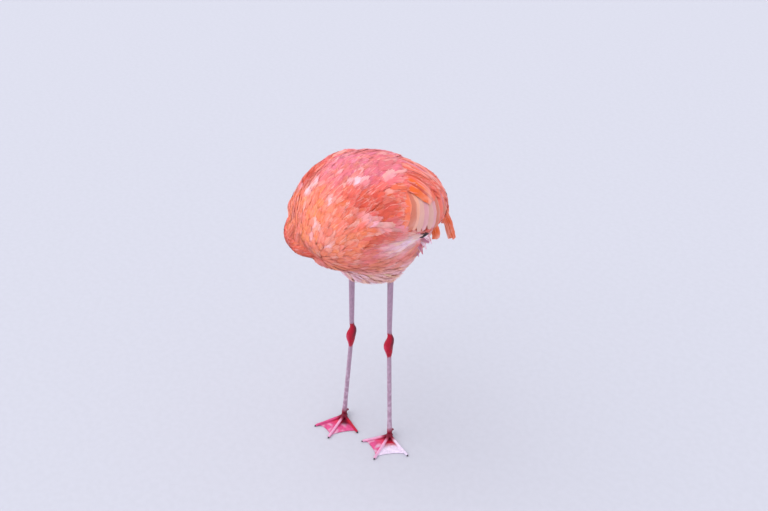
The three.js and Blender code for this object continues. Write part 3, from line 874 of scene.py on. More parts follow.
def fanLines(fan, mirror):
    rows = vanes[fan["vane"]]["rows"]
    spread = np.array([curveThrough(guide, rows + 1) for guide in fan["guides"]]).transpose(1, 0, 2)
    spread = curveThrough(spread, fanSetup["finely"] + 1)
    rise = smoothStep(-0.05, 0.55, np.linspace(0, 1, rows + 1))
    lines, normals = [], []
    for tier in range(fan["tiers"]):
        for k in range(fan["count"]):
            share = (k + 0.5 * (tier % 2)) / (fan["count"] - 0.5) + fan["loose"] * dice.standard_normal()
            guide = spread[:, int(fanSetup["finely"] * np.clip(share, 0, 1))]
            guide = curveThrough(guide, fanSetup["samples"])
            shorter = tier * fan["step"] / fanSetup["long"] + dice.uniform(0, 0.03 + fan["loose"])
            kept = int(fanSetup["samples"] * (1 - shorter))
            guide = curveThrough(guide[np.linspace(0, kept - 1, 6).astype(int)], rows + 1)
            guide = atBird(guide * (mirror, 1, 1))
            if fan["face"] is None:
                places, up = ontoSkin(guide)
            else:
                places, up = guide, np.tile(unit(np.array(fan["face"]) * (mirror, 1, 1)), (rows + 1, 1))
            top = fan["high"] + fanSetup["tierHigher"] * tier + fan["stack"] * k
            lines.append(places + up * (fan["low"] + (top - fan["low"]) * rise)[:, None] / 1000)
            normals.append(up)
    return np.array(lines), np.array(normals)


fanPlaces = {(name, mirror): fanLines(fan, mirror) for name, fan in fans.items()
             for mirror in birdSides.values()}


def treeOfPoints(points):
    tree = KDTree(len(points))
    for i, point in enumerate(points.tolist()):
        tree.insert(point, i)
    tree.balance()
    return tree


laidFans = [lines for (name, _), (lines, _) in fanPlaces.items() if fans[name]["face"] is None]
fanRootTree = treeOfPoints(np.concatenate([lines[:, 0] for lines in laidFans]))
fanCoverTree = treeOfPoints(np.concatenate([lines[:, 3:].reshape(-1, 3) for lines in laidFans]))


def gapTo(tree, points):
    return np.array([tree.find(p)[2] for p in points.tolist()]) * 1000


# the body's contour feathers

bodyCoat = {  # millimetres: length, half width, spacing, height of the tip over the skin
    "breast": (34, 5.8, 7.4, 4.4),
    "back": (42, 7.0, 9.0, 4.4),
    "wing": (38, 7.2, 9.0, 4.2),
    "flank": (60, 7.4, 9.2, 5.2),
    "belly": (42, 7.0, 8.8, 5.5),
    "rump": (50, 8.2, 10.0, 5.2),
    "sock": (17, 4.4, 5.2, 2.6),
}
coatEnd = 522  # the legs are bare below this height


def bodySize(points):
    x, y, z = ownPlace(points).T
    wide = np.abs(x)
    edge = np.interp(y, wingEdge["y"], wingEdge["z"])
    sizes = {name: np.array(values) / 1000 for name, values in bodyCoat.items()}
    onFlank = smoothStep(60, 105, wide) * smoothStep(-100, -50, y) * smoothStep(edge + 15, edge - 10, z)
    return layered(
        np.tile(sizes["back"], (len(points), 1)), sizes,
        ("breast", smoothStep(-50, -120, y)),
        ("wing", smoothStep(80, 125, wide) * smoothStep(-70, -10, y)),
        ("rump", smoothStep(110, 190, y)),
        ("flank", onFlank),
        ("belly", smoothStep(610, 565, z)),
        ("sock", smoothStep(550, 532, z))).T


tuftSetup = {"barbs": 10, "from": 0.40, "past": 1.10, "round": 0.26, "spread": 0.94, "half": 0.18,
             "lift": 0.4, "drift": 0.045, "bleached": 0.12, "wave": 0.9, "loose": 0.12,
             "fromLoose": 0.08, "pastLoose": 0.06}


def addBarbs(name, lines, normals, half, tone, roots, past=tuftSetup["past"]):
    # loose barbs carry each feather's tip on, shorter to its sides
    count, last, times = len(lines), lines.shape[1] - 1, tuftSetup["barbs"]
    aim = unit(np.gradient(lines, axis=1))
    side = unit(np.cross(aim, normals))
    rows = vanes["wisp"]["rows"] + 1
    pick = np.arange(count)[:, None]
    barbLines, barbNormals = [], []
    fromLoose, pastLoose = tuftSetup["fromLoose"], tuftSetup["pastLoose"]
    for k in range(times):
        out = (k / (times - 1) - 0.5) * 2 * tuftSetup["spread"]
        out = out + tuftSetup["loose"] * dice.standard_normal(count)
        start = tuftSetup["from"] + dice.uniform(-fromLoose, fromLoose, count)
        end = past - tuftSetup["round"] * out ** 2 + dice.uniform(-pastLoose, pastLoose, count)
        at = (start[:, None] + (end - start)[:, None] * np.linspace(0, 1, rows)) * last
        low = np.clip(at.astype(int), 0, last - 1)
        part = (at - low)[..., None]
        line = lines[pick, low] * (1 - part) + lines[pick, low + 1] * part
        grow = np.linspace(0.75, 1.05, rows)[None] * (out * half)[:, None]
        lift = tuftSetup["lift"] / 1000 * dice.uniform(0.4, 1.4, count)
        barbLines.append(line + side[pick, low] * grow[..., None] + normals[pick, low] * lift[:, None, None])
        barbNormals.append(normals[pick, low])
    total = count * times
    shade = 1 + tuftSetup["drift"] * dice.standard_normal((total, 1))
    pale = (dice.random(total) < tuftSetup["bleached"]) * dice.uniform(0.1, 0.4, total)
    half = np.tile(half, times) * tuftSetup["half"] * dice.uniform(0.75, 1.2, total)
    tone = np.clip(blend(np.tile(tone, (times, 1)) * shade, colours["paleTip"], pale), 0, 1)
    makeVanes(name, "wisp", np.concatenate(barbLines), np.concatenate(barbNormals), half, tone,
              np.tile(roots, (times, 1)), "wispVanes", "coat", wave=tuftSetup["wave"])


breastEnd, breastFoot, backEdge, bellyTop = -60, 650, 690, 605
bodyParts = {  # which of the body's faces each part of the coat takes, by their y and z
    "breast": lambda y, z: (y < breastEnd) & (z >= breastFoot),
    "back": lambda y, z: (y >= breastEnd) & (z >= backEdge),
    "flank": lambda y, z: (y >= breastEnd) & (z < backEdge) & (z >= bellyTop),
    "belly": lambda y, z: ((y < breastEnd) & (z < breastFoot)) | ((y >= breastEnd) & (z < bellyTop)),
}
bodySetup = {
    "seed": 21, "tries": 30000, "rows": 7, "drift": 0.08, "bleached": 0.13,
    "look": 0.025,  # how far ahead a feather looks for the next fan
    # none grow closer than coverRoom under a fan, but within rootRoom of its roots they do
    "coverRoom": 9, "rootRoom": 8, "leavingRoom": 3, "rumpFrom": 100,
    "thighTop": 545, "overEdge": 4, "shortest": 8,  # how the coat ends on the thighs
    "swirl": 0.30, "swirlScale": 28, "turn": 0.07,
    "start": 0.0008, "overRoots": 0.003, "underBreast": 0.008, "flatUnder": 0.75, "rumpShorter": 0.4,
}


def nearFans(starts):  # how far the fans' roots, what they cover, and what they cover just ahead are
    up = ontoSkin(starts)[1]
    ahead = starts + bodySetup["look"] * flowAt(starts, up, np.full(len(starts), onTrunk))
    return gapTo(fanRootTree, starts), gapTo(fanCoverTree, starts), gapTo(fanCoverTree, ahead)


def dressBody(name, wanted, seed):
    _, y, z = ownPlace(faceMiddles).T
    chosen = np.isin(faceRegions, (onTrunk, onWing, onThigh)) & wanted(y, z)
    starts = scatter(chosen, lambda p: bodySize(p)[2], seed, bodySetup["tries"])
    rootGap, coverGap, aheadGap = nearFans(starts)
    _, y, z = ownPlace(starts).T
    # and some come out from under a fan's tips on to the rump
    onRump = y > bodySetup["rumpFrom"]
    leaving = (aheadGap > coverGap) & (coverGap > bodySetup["leavingRoom"]) & onRump
    clear = (coverGap > bodySetup["coverRoom"]) | (rootGap < bodySetup["rootRoom"])
    kept = (clear | leaving) & (z > coatEnd)
    starts, y, z, rootGap, coverGap, aheadGap = (
        values[kept] for values in (starts, y, z, rootGap, coverGap, aheadGap))
    count = len(starts)
    length, half, _, high = bodySize(starts)
    # a feather ends before the fan that it runs towards, and lies flat under it
    room = coverGap + 10 * smoothStep(20, 12, rootGap) + 60 * (aheadGap > coverGap)
    under = smoothStep(24, 10, coverGap) * smoothStep(9, 14, rootGap) * (aheadGap <= coverGap + 2)
    over = smoothStep(34, 12, rootGap)
    length = np.minimum(length, (0.85 * room + 11) / 1000)
    onLeg = regionOf(starts) == onThigh
    toEdge = np.maximum(z - coatEnd + bodySetup["overEdge"], bodySetup["shortest"]) / 1000
    length = np.where(onLeg, np.minimum(length, toEdge), length)
    length = length * (1 - bodySetup["rumpShorter"] * smoothStep(165, 205, y))
    fuller = smoothStep(590, 560, z) * smoothStep(5, -25, y) * smoothStep(-100, -72, y) * ~onLeg
    turn = bodySetup["swirl"] * noiseAt(starts, bodySetup["swirlScale"], 3.1)
    turn = turn + bodySetup["turn"] * dice.standard_normal(count)
    raised = bodySetup["overRoots"] * over
    high = (high + bodySetup["underBreast"] * fuller) * dice.uniform(0.8, 1.15, count)
    high = high * (1 - bodySetup["flatUnder"] * under) + raised
    half = half * dice.uniform(0.85, 1.2, count)
    length = length * dice.uniform(0.85, 1.15, count)
    regions = np.where(onLeg & (z < bodySetup["thighTop"]), onThigh, onTrunk)
    low = bodySetup["start"] + raised
    lines, normals = walk(starts, regions, length, bodySetup["rows"], low, high, turn)
    tone = markingAt(lines[:, 4], np.full(count, onTrunk), starts)
    tone = varied(tone, starts, lines[:, 5], bodySetup["drift"], bodySetup["bleached"])
    laid = lines, normals, half, tone, aroundTrunk(starts)
    makeVanes(name + "Feathers", "contour", *laid, "contourVanes", "coat")
    addBarbs(name + "Barbs", *laid)


for number, (name, wanted) in enumerate(bodyParts.items()):
    dressBody(name, wanted, bodySetup["seed"] + number)


# neck and head: short feathers laid close, measures in millimetres

neckCoat = {"rootLength": 24, "length": 19, "rootHalf": 3.8, "half": 2.1, "rootSpacing": 5.6, "spacing": 3.6,
            "low": 0.4, "high": 1.6, "turn": 0.12, "drift": 0.08, "bleached": 0.10, "soft": 0.9,
            "seed": 31, "tries": 34000, "rows": 4,
            "rootEnd": 0.22, "looseEnd": 0.3}  # shares of the neck's length
headCoat = {"length": 6.2, "half": 1.25, "spacing": 1.85, "low": 0.2, "high": 1.0, "turn": 0.1,
            "drift": 0.06, "bleached": 0.06, "soft": 0.75, "seed": 41, "tries": 20000,
            "rows": 4, "faceEnd": 12, "eyeRoom": 8.2}


def neckSize(points, name):
    along = gapsTo(neckLine, points).argmin(1) / len(neckLine)
    nearRoot = smoothStep(neckCoat["rootEnd"], 0.04, along)
    return (neckCoat[name] + (neckCoat["root" + name.title()] - neckCoat[name]) * nearRoot) / 1000


def headSize(points, name):  # shorter towards the face
    size = np.full(len(points), headCoat[name] / 1000)
    if name == "length":
        size *= 0.55 + 0.45 * smoothStep(headCoat["faceEnd"], -30, inHead(points)[:, 0])
    return size


def dressClosely(name, coat, region, chosen, sizeAt, around):
    starts = scatter(chosen, lambda p: sizeAt(p, "spacing"), coat["seed"], coat["tries"])
    count = len(starts)
    regions = np.full(count, region)
    length = sizeAt(starts, "length") * dice.uniform(0.8, 1.2, count)
    high = coat["high"] / 1000 * dice.uniform(0.7, 1.2, count)
    turn = coat["turn"] * dice.standard_normal(count)
    low = np.full(count, coat["low"] / 1000)
    lines, normals = walk(starts, regions, length, coat["rows"], low, high, turn)
    tone = varied(markingAt(starts, regions), starts, starts, coat["drift"], coat["bleached"])
    half = sizeAt(starts, "half") * dice.uniform(0.85, 1.15, count)
    laid = lines, normals, half, tone, around(starts)
    makeVanes(name, "small", *laid, "softVanes", "coat", soft=coat["soft"])
    return laid


neckVanes = dressClosely("neckFeathers", neckCoat, onNeck, faceRegions == onNeck, neckSize, aroundNeck)
byRoot = neckVanes[-1][:, 1] < neckCoat["looseEnd"]
addBarbs("neckRootBarbs", *(values[byRoot] for values in neckVanes))

eyeGap = np.minimum(*(np.linalg.norm(faceMiddles - np.array(m), axis=1) for m in eyeMiddles)) * 1000
feathered = (inHead(faceMiddles)[:, 0] < headCoat["faceEnd"]) & (eyeGap > headCoat["eyeRoom"])
dressClosely("headFeathers", headCoat, onHead, (faceRegions == onHead) & feathered, headSize, aroundHead)


# the long feathers

coverWays = {"ragged": 0.03, "wave": 0.1, "roll": 0.02, "soft": 0.45}


def layFan(name, sideName, mirror):
    fan = fans[name]
    lines, normals = fanPlaces[name, mirror]
    count, tones = len(lines), fan["tones"]
    half = fan["half"] / 1000 * dice.uniform(0.88, 1.1, count)
    order = dice.integers(len(tones), size=count) if fan["mixed"] else np.arange(count) % len(tones)
    tone = np.array([colours[tones[k]] for k in order]) * dice.uniform(0.93, 1.05, (count, 1))
    laid = lines, normals, half, np.clip(tone, 0, 1), aroundTrunk(lines[:, 0])
    rootTone = markingAt(lines[:, 0], np.full(count, onTrunk))
    piece = name + sideName.title()
    makeVanes(piece, fan["vane"], *laid, fan["material"], fan["slot"],
              tilt=fan["tilt"] * mirror, rootTone=rootTone, **coverWays)
    if fan["face"] is not None:
        addBarbs(piece + "Barbs", *laid, past=1.0)


for name in fans:
    for sideName, mirror in birdSides.items():
        layFan(name, sideName, mirror)


# drooping tertial plumes, the tail and the black primaries follow their solids

tertials = {
    1: [(78, 134, 694), (85, 172, 660), (81, 206, 608), (77, 234, 546)],
    2: [(52, 172, 700), (56, 212, 664), (47, 236, 616), (40, 246, 566)],
    3: [(104, 96, 668), (108, 119, 644), (107, 131, 620), (103, 137, 598)],
}
tertialSetup = {"half": 7.2, "strands": 5, "spread": 8.0, "rootSpread": 0.35, "cup": 0.6,
                "face": (1.0, -0.15, 0.25), "round": 0.05, "cut": 0.04, "tones": ["flame", "orange"]}


def sprays(spine, mirror):
    # several vanes side by side along one spine, cupped round it and parting a little towards their tips
    rows, strands, cup = vanes["plume"]["rows"], tertialSetup["strands"], tertialSetup["cup"]
    line = curveThrough(atBird(np.array(spine, float) * (mirror, 1, 1)), rows + 1)
    aim = unit(np.gradient(line, axis=0))
    face = np.array(tertialSetup["face"]) * (mirror, 1, 1)
    outward = unit(face - aim * (aim @ face)[:, None])
    across = np.cross(aim, outward)
    narrow = tertialSetup["rootSpread"]
    wide = tertialSetup["spread"] / 1000 * (narrow + (1 - narrow) * np.linspace(0, 1, rows + 1)[:, None])
    lines, normals = [], []
    for k in range(strands):
        at = k / (strands - 1) * 2 - 1
        drift = across * (wide * math.sin(cup * at) / cup) + outward * (wide * (math.cos(cup * at) - 1) / cup)
        shorter = tertialSetup["round"] * abs(at) + tertialSetup["cut"] * (k % 2)
        cut = line[0] + (line - line[0]) * (1 - shorter)
        lines.append(cut + drift)
        normals.append(outward * math.cos(cup * at) + across * math.sin(cup * at))
    return np.array(lines), np.array(normals)


def hangTertial(sideName, mirror, number):
    lines, normals = sprays(tertials[number], mirror)
    tone = np.array([colours[dice.choice(tertialSetup["tones"])] * dice.uniform(0.9, 1.05) for _ in lines])
    name = "tertials" + sideName.title() + str(number)
    half = np.full(len(lines), tertialSetup["half"] / 1000)
    laid = lines, normals, half, tone, aroundTrunk(lines[:, 0])
    makeVanes(name, "plume", *laid, "plumeVanes", "plume", ["tertial_%s_%d" % (sideName, number)])
    addBarbs(name + "Barbs", *laid, past=1.0)


for sideName, mirror in birdSides.items():
    for number in tertials:
        hangTertial(sideName, mirror, number)

tailSetup = {"spine": [(0, 186, 629), (0, 226, 605), (0, 260, 571), (0, 280, 545)], "count": 12,
             "spread": 34, "half": 9.5, "tones": ("salmon", "coral", "salmon", "mauve"),
             "arch": 10, "stagger": 0.6, "back": 6, "lean": 0.35, "round": 0.05, "cut": 0.035}
primarySetup = {"start": -20, "later": 5, "end": 64, "sooner": 4, "count": 5, "half": 5.2, "out": 140.0,
                "height": 677, "lower": 3.0, "slope": 0.28, "apart": 0.4, "tipsOut": 6.5}
stiffWays = {"ragged": 0.03, "wave": 0.05, "roll": 0.04}


def fanTail():
    rows, count, tones = vanes["flight"]["rows"], tailSetup["count"], tailSetup["tones"]
    spine = curveThrough(atBird(tailSetup["spine"]), rows + 1)
    aim = unit(np.gradient(spine, axis=0))
    share = np.linspace(0, 1, rows + 1)[:, None]
    sideways = np.array([1.0, 0, 0])
    up = np.cross(sideways, aim)
    lines, normals = [], []
    for k in range(count):
        at = k / (count - 1) * 2 - 1
        bend = sideways * at * tailSetup["spread"] / 1000 * (0.5 + 0.6 * share)
        arch = up * (tailSetup["arch"] * at * at + tailSetup["stagger"] * (k % 2)) / 1000
        shorter = tailSetup["round"] * abs(at) + tailSetup["cut"] * (k % 2)
        cut = spine[0] + (spine - spine[0]) * (1 - shorter)
        lines.append(cut + bend - arch - aim * tailSetup["back"] / 1000 * abs(at))
        normals.append(up + tailSetup["lean"] * at * sideways)
    tone = np.array([colours[tones[k % len(tones)]] * dice.uniform(0.92, 1.05) for k in range(count)])
    lines, half = np.array(lines), np.full(count, tailSetup["half"] / 1000)
    makeVanes("tailFeathers", "flight", lines, unit(np.array(normals)), half, np.clip(tone, 0, 1),
              aroundTrunk(lines[:, 0]), "flightVanes", "flight_feather", ["tail"], **stiffWays)


def tuckPrimaries(sideName, mirror):
    rows, count = vanes["flight"]["rows"], primarySetup["count"]
    share = np.linspace(0, 1, rows + 1)
    out = np.full(rows + 1, primarySetup["out"] * mirror)
    lines, normals = [], []
    for k in range(count):
        start = primarySetup["start"] + primarySetup["later"] * k
        y = np.linspace(start, primarySetup["end"] - primarySetup["sooner"] * k, rows + 1)
        z = primarySetup["height"] - primarySetup["lower"] * k - primarySetup["slope"] * (y + 10)
        places, up = ontoSkin(atBird(np.c_[out, y, z]))
        rise = 1.0 + primarySetup["apart"] * k + primarySetup["tipsOut"] * smoothStep(0.78, 0.97, share)
        lines.append(places + up * rise[:, None] / 1000)
        normals.append(up)
    lines, half = np.array(lines), np.full(count, primarySetup["half"] / 1000)
    makeVanes("primaries" + sideName.title(), "flight", lines, np.array(normals), half,
              np.tile(colours["ink"], (count, 1)), aroundTrunk(lines[:, 0]), "blackVanes",
              "flight_feather", ["primaries_" + sideName], **stiffWays)


fanTail()
for sideName, mirror in birdSides.items():
    tuckPrimaries(sideName, mirror)


# legs: bare skin with scutes, from the feathers down to the webbed toes

# toes and webs from the bird's right to its left: the toes' angles, and each web's tone near the heel
# and farther out
legs = {
    "left": {"foot": (30, 56), "ankle": (31, 52, 302), "toes": (-32, 18, 75),
             "toeTones": ("blush", "blush", "paleLilacAndSheen"),
             # far out on the second web the pale lilac is painted wet sheen
             "webTones": (("cherry", "rose"), ("crimson", "paleLilacAndSheen"))},
    "right": {"foot": (-112, 32), "ankle": (-73, 27, 296), "toes": (-20, 18, 72),
              "toeTones": ("rose", "blush", "crimson"),
              "webTones": (("cherry", "rose"), ("wine", "rose"))},
}
legSetup = {
    "voxel": 0.0008, "rounds": 4, "swell": 0.0002,
    "runIn": 14,  # how far it runs up into the thigh
    "turn": 18, "scutePitch": 5.2, "scuteDepth": 0.22, "wrinklePitch": 3.4, "wrinkle": 1.3,
    "ringPitch": 3.6, "ribDepth": 0.18,
    "outside": (0.731, 0.682),
    "ankleBend": ((24, 13, 2.2), (-6, 15, -2.6)),  # height over the joint, reach, shift towards the camera's right
}


def onFoot(own, leg):  # how far out, at what angle, and how far beside each toe
    gap = own[:, :2] - np.array(leg["foot"])
    reach = np.linalg.norm(gap, axis=1)
    angle = np.degrees(np.arctan2(gap[:, 0], -gap[:, 1]))
    return reach, angle, np.array([angle - toe for toe in leg["toes"]]) * reach * np.pi / 180


def legTone(own, leg):
    z = own[:, 2]
    grain, sheenNoise = noiseAt(own, 1 / 9), noiseAt(own, 1 / 15)
    up = z - leg["ankle"][2]
    joint = smoothStep(43, 35, np.abs(up - 4) + 5 * grain)
    # how far towards the camera's right, for the ankle's painted highlight and painted shade
    away = (own[:, :2] - leg["ankle"][:2]) @ legSetup["outside"]
    tone = layered(
        np.tile(colours["shank"], (len(own), 1)), colours,
        ("shankPale", 0.6 * smoothStep(-0.2, 0.5, grain) * smoothStep(330, 100, z)),
        ("crimson", joint),
        # painted highlight: cherry low on the ankle's side towards the camera's left; painted shade: wine
        # high on its side towards the camera's right
        ("cherry", 0.7 * joint * smoothStep(-2, -9, away) * smoothStep(10, -5, up)),
        ("wine", 0.9 * joint * smoothStep(1, 8, away) * smoothStep(-25, 15, up + 6 * grain)))
    # the foot: webs with their own tones, pale toes, dark where the toes meet, painted wet sheen on the webs
    # and painted shadow beside the toes
    reach, _, offToes = onFoot(own, leg)
    toe, whichToe = np.abs(offToes).min(axis=0), np.abs(offToes).argmin(axis=0)
    toeTone = np.array([colours[name] for name in leg["toeTones"]])[whichToe]
    beside = smoothStep(-1.5, 1.5, offToes[1])
    near, far = (blend(colours[right], colours[left], beside) for right, left in zip(*leg["webTones"]))
    foot = layered(
        blend(near, far, smoothStep(24, 46, reach + 8 * grain)), colours,
        # painted wet sheen in pale patches on the webs; painted shadow of the toes on the web beside them
        ("paleLilacAndSheen", 0.7 * smoothStep(-0.1, 0.6, sheenNoise) * smoothStep(24, 50, reach) * smoothStep(3, 7, toe)),
        ("crimson", 0.65 * smoothStep(7.5, 4.5, toe) * smoothStep(60, 20, reach)))
    foot = layered(
        blend(foot, toeTone, 0.95 * smoothStep(4.4, 2.8, toe) * smoothStep(12, 30, reach)), colours,
        ("wine", 0.7 * smoothStep(-1.0, -3.5, offToes[0]) * smoothStep(90, 60, reach)),
        ("wine", 0.85 * smoothStep(27, 10, reach) * smoothStep(46, 8, z)))
    return blend(tone, foot, smoothStep(40, 20, z))


def scuteShape(own, normals, leg):
    # cross grooves down the front of the leg and over the toes
    z, flat = own[:, 2], normals[:, 2]
    turn = math.radians(legSetup["turn"])
    front = normals[:, 0] * math.sin(turn) - normals[:, 1] * math.cos(turn)
    facing = smoothStep(0.1, 0.6, front) + 0.6 * smoothStep(-0.2, -0.7, front)
    scutes = wave(z, legSetup["scutePitch"], 6) * facing * smoothStep(22, 34, z)
    atAnkle = smoothStep(30, 20, np.abs(z - leg["ankle"][2]))
    wrinkles = wave(z, legSetup["wrinklePitch"], 4) * atAnkle * legSetup["wrinkle"]
    reach, angle, offToes = onFoot(own, leg)
    toe = np.abs(offToes).min(axis=0)
    rings = wave(reach, legSetup["ringPitch"], 5) * smoothStep(6, 4, toe)
    rings = rings * smoothStep(0.2, 0.6, flat) * smoothStep(22, 14, z)
    rib = np.sin(angle * 0.9) * smoothStep(5, 9, toe) * smoothStep(0.3, 0.8, flat) * smoothStep(10, 5, z)
    depth = np.maximum(np.maximum(scutes, wrinkles), rings)
    return own - normals * (legSetup["scuteDepth"] * depth - legSetup["ribDepth"] * rib)[:, None]


def buildLeg(sideName, leg):
    nodes = [part + "_" + sideName for part in ("foot", "tarsus", "ankle", "tibia")]
    piece = mergedCopy("legSkin" + sideName.title(), nodes)
    softened(piece, legSetup)
    own = ownPlace(vertexArray(piece.data))
    top = own[:, 2].max()
    own[:, 2] += legSetup["runIn"] * smoothStep(top - 3, top - 0.5, own[:, 2])
    tone = legTone(own, leg)
    own = scuteShape(own, vertexArray(piece.data, "normal"), leg)
    for height, reach, shift in legSetup["ankleBend"]:
        bend = shift * bell(own[:, 2] - leg["ankle"][2] - height, reach)
        own[:, :2] += np.outer(bend, legSetup["outside"])
    own[:, 2] = np.maximum(own[:, 2], 0.0)
    moveVertices(piece.data, atBird(own))
    paint(piece.data, "tone", tone)
    finished(piece, "legSkin", nodes)


clawSetup = {"voxel": 0.0004, "rounds": 3, "swell": 0.0001}


def buildClaws(sideName):
    nodes = ["claw_%s_%s" % (sideName, toe) for toe in ("inner", "middle", "outer", "hind")]
    claws = mergedCopy("claws" + sideName.title(), nodes)
    softened(claws, clawSetup)
    paint(claws.data, "tone", np.tile(colours["horn"], (len(claws.data.vertices), 1)))
    finished(claws, "clawHorn", nodes)


for sideName, leg in legs.items():
    buildLeg(sideName, leg)
    buildClaws(sideName)


# the bill, on the head's own measures: to the bill, to its left, to its crown

billSetup = {
    "voxel": 0.00055, "rounds": 9, "swell": 0.0001,
    "spines": {
        "upper": [(15, 0, 2), (40, 0, -3), (62, 0, -12), (76, 0, -32), (80, 0, -54), (75, 0, -72)],
        "lower": [(16, 0, -13), (34, 0, -17), (49, 0, -25), (60, 0, -41), (66, 0, -56), (69, 0, -68)]},
    "length": 118, "blackFrom": 0.60, "pinkFrom": 0.22, "combPitch": 1.5, "combDepth": 0.10,
    "tuck": 0.26,  # the horn slims into the face
    "nostril": {"from": 0.16, "to": 0.34, "level": 2.0, "half": 0.9, "depth": 1.0},
}


def buildBill(which, spinePoints):
    node = "bill_" + which
    bill = mergedCopy("bill" + which.title(), [node])
    softened(bill, billSetup)
    local = inHead(vertexArray(bill.data))
    normals = vertexArray(bill.data, "normal") @ headFrame.T
    spine = curveThrough(spinePoints, 60)
    nearest = gapsTo(spine, local).argmin(1)
    aim = unit(np.gradient(spine, axis=0))[nearest]
    out = local - spine[nearest]
    share = np.clip(nearest / (len(spine) - 1) + (out * aim).sum(1) / billSetup["length"], 0, 1)
    height = -(out * np.cross(aim, np.array([0, 1.0, 0]))).sum(1)  # towards the crown
    seam = height if which == "upper" else -height
    comb = np.sin(share * billSetup["length"] * wholeTurn / billSetup["combPitch"])
    push = billSetup["combDepth"] * comb * smoothStep(-2.0, -4.0, seam) * smoothStep(0.1, 0.2, share)
    grain = noiseAt(local, 1 / 5)
    pink, black = billSetup["pinkFrom"], billSetup["blackFrom"]
    tone = layered(
        np.tile(colours["bareFace"], (len(local), 1)), colours,
        ("billBase", smoothStep(0.0, 0.12, share)),
        ("billMiddle", smoothStep(pink - 0.1, pink + 0.2, share + 0.05 * grain)),
        ("horn", smoothStep(black - 0.02, black + 0.02, share + 0.03 * grain - 0.004 * seam)))
    if which == "upper":
        slit = billSetup["nostril"]
        hole = smoothStep(slit["from"], slit["from"] + 0.05, share)
        hole = hole * smoothStep(slit["to"], slit["to"] - 0.05, share) * (np.abs(local[:, 1]) > 3)
        hole = hole * smoothStep(slit["half"], 0.2, np.abs(height - slit["level"]))
        push = push - slit["depth"] * hole
        # painted shade: the nostril's slit is darkened
        tone = blend(tone, colours["wine"] * 0.5, hole)
    tuck = billSetup["tuck"] * smoothStep(0.13, 0.0, share) ** 1.5
    moveVertices(bill.data, fromHead(local + normals * push[:, None] - out * tuck[:, None]))
    paint(bill.data, "tone", tone)
    finished(bill, "billHorn", [node])


for which, spinePoints in billSetup["spines"].items():
    buildBill(which, spinePoints)


# eyes and their lids

eyeSetup = {"radius": 5.2, "pupil": 1.5, "iris": 3.5, "bulge": 0.4,
            "lidRadius": 3.75, "lidThick": 0.75, "lidOut": 4.1, "lidLonger": 0.16, "lidLower": 0.10,
            "creases": 36, "creaseDepth": 0.06}


def eyeMaterial():
    finish = {"Roughness": 0.08, "Coat Weight": 1.0, "Coat Roughness": 0.02}
    material, bench, shader = newMaterial("eyeGloss", finish)
    streaks = bench.ramp(bench.noise(2600, 3), 0.35, 0.65, 0.82, 1.1)
    bench.feed(shader["Base Color"], bench.shaded(bench.attribute("tone", "Color"), streaks))
    return material


materials["eyeGloss"] = eyeMaterial()


def buildEye(sideName, middle, aim):
    turn = aim.to_track_quat("Z", "Y").to_euler()
    pickOnly()
    bpy.ops.mesh.primitive_uv_sphere_add(
        segments=48, ring_count=32, radius=eyeSetup["radius"] / 1000, location=middle, rotation=turn)
    eye = settled("eye" + sideName.title())
    places = vertexArray(eye.data)
    ahead, pupil, iris = np.array(aim), eyeSetup["pupil"], eyeSetup["iris"]
    out = (places - np.array(middle)) @ ahead
    off = np.linalg.norm(places - np.array(middle) - out[:, None] * ahead, axis=1) * 1000
    cornea = eyeSetup["bulge"] / 1000 * smoothStep(3.4, 0.5, off) * (out > 0)
    moveVertices(eye.data, places + cornea[:, None] * ahead)
    tone = blend(colours["iris"], colours["irisEdge"], smoothStep(2.4, iris, off))
    tone = blend(tone, colours["ink"] * 0.5, smoothStep(pupil + 0.15, pupil - 0.1, off))
    tone = blend(tone, colours["eyeWhite"], smoothStep(iris - 0.1, iris + 0.2, off))
    tone[out < 0] = colours["eyeWhite"]
    paint(eye.data, "tone", tone)
    smoothShaded(eye.data)
    finished(eye, "eyeGloss", ["eye_" + sideName])


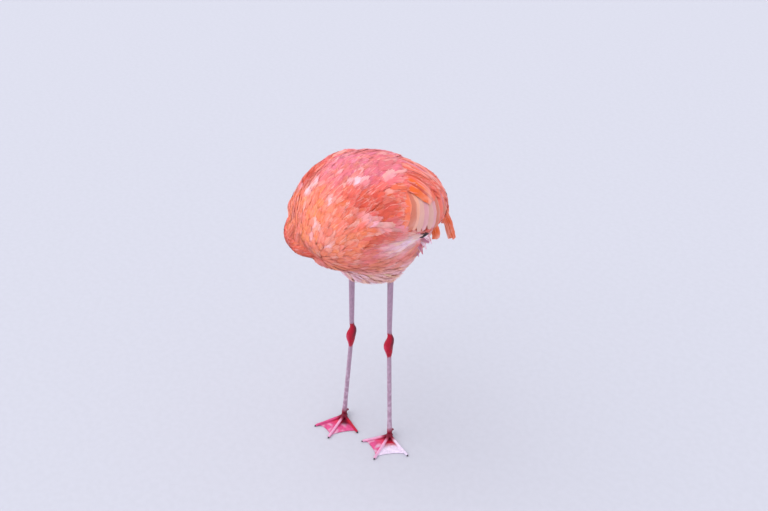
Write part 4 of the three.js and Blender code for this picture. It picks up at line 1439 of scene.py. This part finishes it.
def buildLid(sideName, middle, aim):
    pickOnly()
    bpy.ops.mesh.primitive_torus_add(
        major_radius=eyeSetup["lidRadius"] / 1000, minor_radius=eyeSetup["lidThick"] / 1000,
        major_segments=64, minor_segments=16, location=middle + aim * eyeSetup["lidOut"] / 1000,
        rotation=aim.to_track_quat("Z", "Y").to_euler())
    lid = settled("lid" + sideName.title())
    local = (vertexArray(lid.data) - np.array(middle)) @ headFrame.T * 1000
    corner = smoothStep(3.0, 4.4, np.abs(local[:, 0]))
    local[:, 0] *= 1 + eyeSetup["lidLonger"] * corner
    local[:, 2] *= 1 - eyeSetup["lidLower"] * corner
    crease = np.sin(np.arctan2(local[:, 2], local[:, 0]) * eyeSetup["creases"]) * eyeSetup["creaseDepth"]
    local[:, 1] += crease * np.sign(local[:, 1])
    moveVertices(lid.data, local / 1000 @ headFrame + np.array(middle))
    paint(lid.data, "tone", np.tile(colours["lid"], (len(local), 1)))
    smoothShaded(lid.data)
    finished(lid, "lidSkin")


for (sideName, mirror), middle in zip(birdSides.items(), eyeMiddles):
    buildEye(sideName, middle, headSide * mirror)
    buildLid(sideName, middle, headSide * mirror)


# floor and light

stageSetup = {
    "floor": (0.492, 0.495, 0.56), "floorSize": 40, "floorHeight": -0.0003, "speckle": 1.03,
    "room": (0.92, 0.94, 1.0), "roomStrength": 1.12,
    "sky": {"from": (-330, -560, 1000), "strength": 1.5, "angle": 70, "tint": (1.0, 0.98, 0.95)},
}


def addFloor():
    pickOnly()
    bpy.ops.mesh.primitive_plane_add(
        size=stageSetup["floorSize"], location=(0, 0, stageSetup["floorHeight"]))
    floor = settled("floor")
    material, bench, shader = newMaterial("paleFloor", {"Roughness": 0.7})
    tint = stageSetup["floor"]
    lighter = (*(stageSetup["speckle"] * c for c in tint), 1)
    speckle = bench.mix("MIX", bench.ramp(bench.noise(60, 5), 0.3, 0.7), (*tint, 1), lighter)
    bench.feed(shader["Base Color"], speckle)
    floor.data.materials.append(material)


def addLight():
    world = bpy.data.worlds.new("softRoom")
    bpy.context.scene.world = world
    world.use_nodes = True
    room = world.node_tree.nodes["Background"].inputs
    room["Color"].default_value = (*stageSetup["room"], 1)
    room["Strength"].default_value = stageSetup["roomStrength"]
    sky = stageSetup["sky"]
    bpy.ops.object.light_add(type="SUN", location=(0, 0, 3))
    light = bpy.context.object
    light.name = "softSky"
    light.data.energy = sky["strength"]
    light.data.angle = math.radians(sky["angle"])
    light.data.color = sky["tint"]
    light.rotation_euler = Vector(sky["from"]).to_track_quat("Z", "Y").to_euler()
    bpy.context.scene.view_settings.view_transform = "Standard"


addFloor()
addLight()
print("scene done")
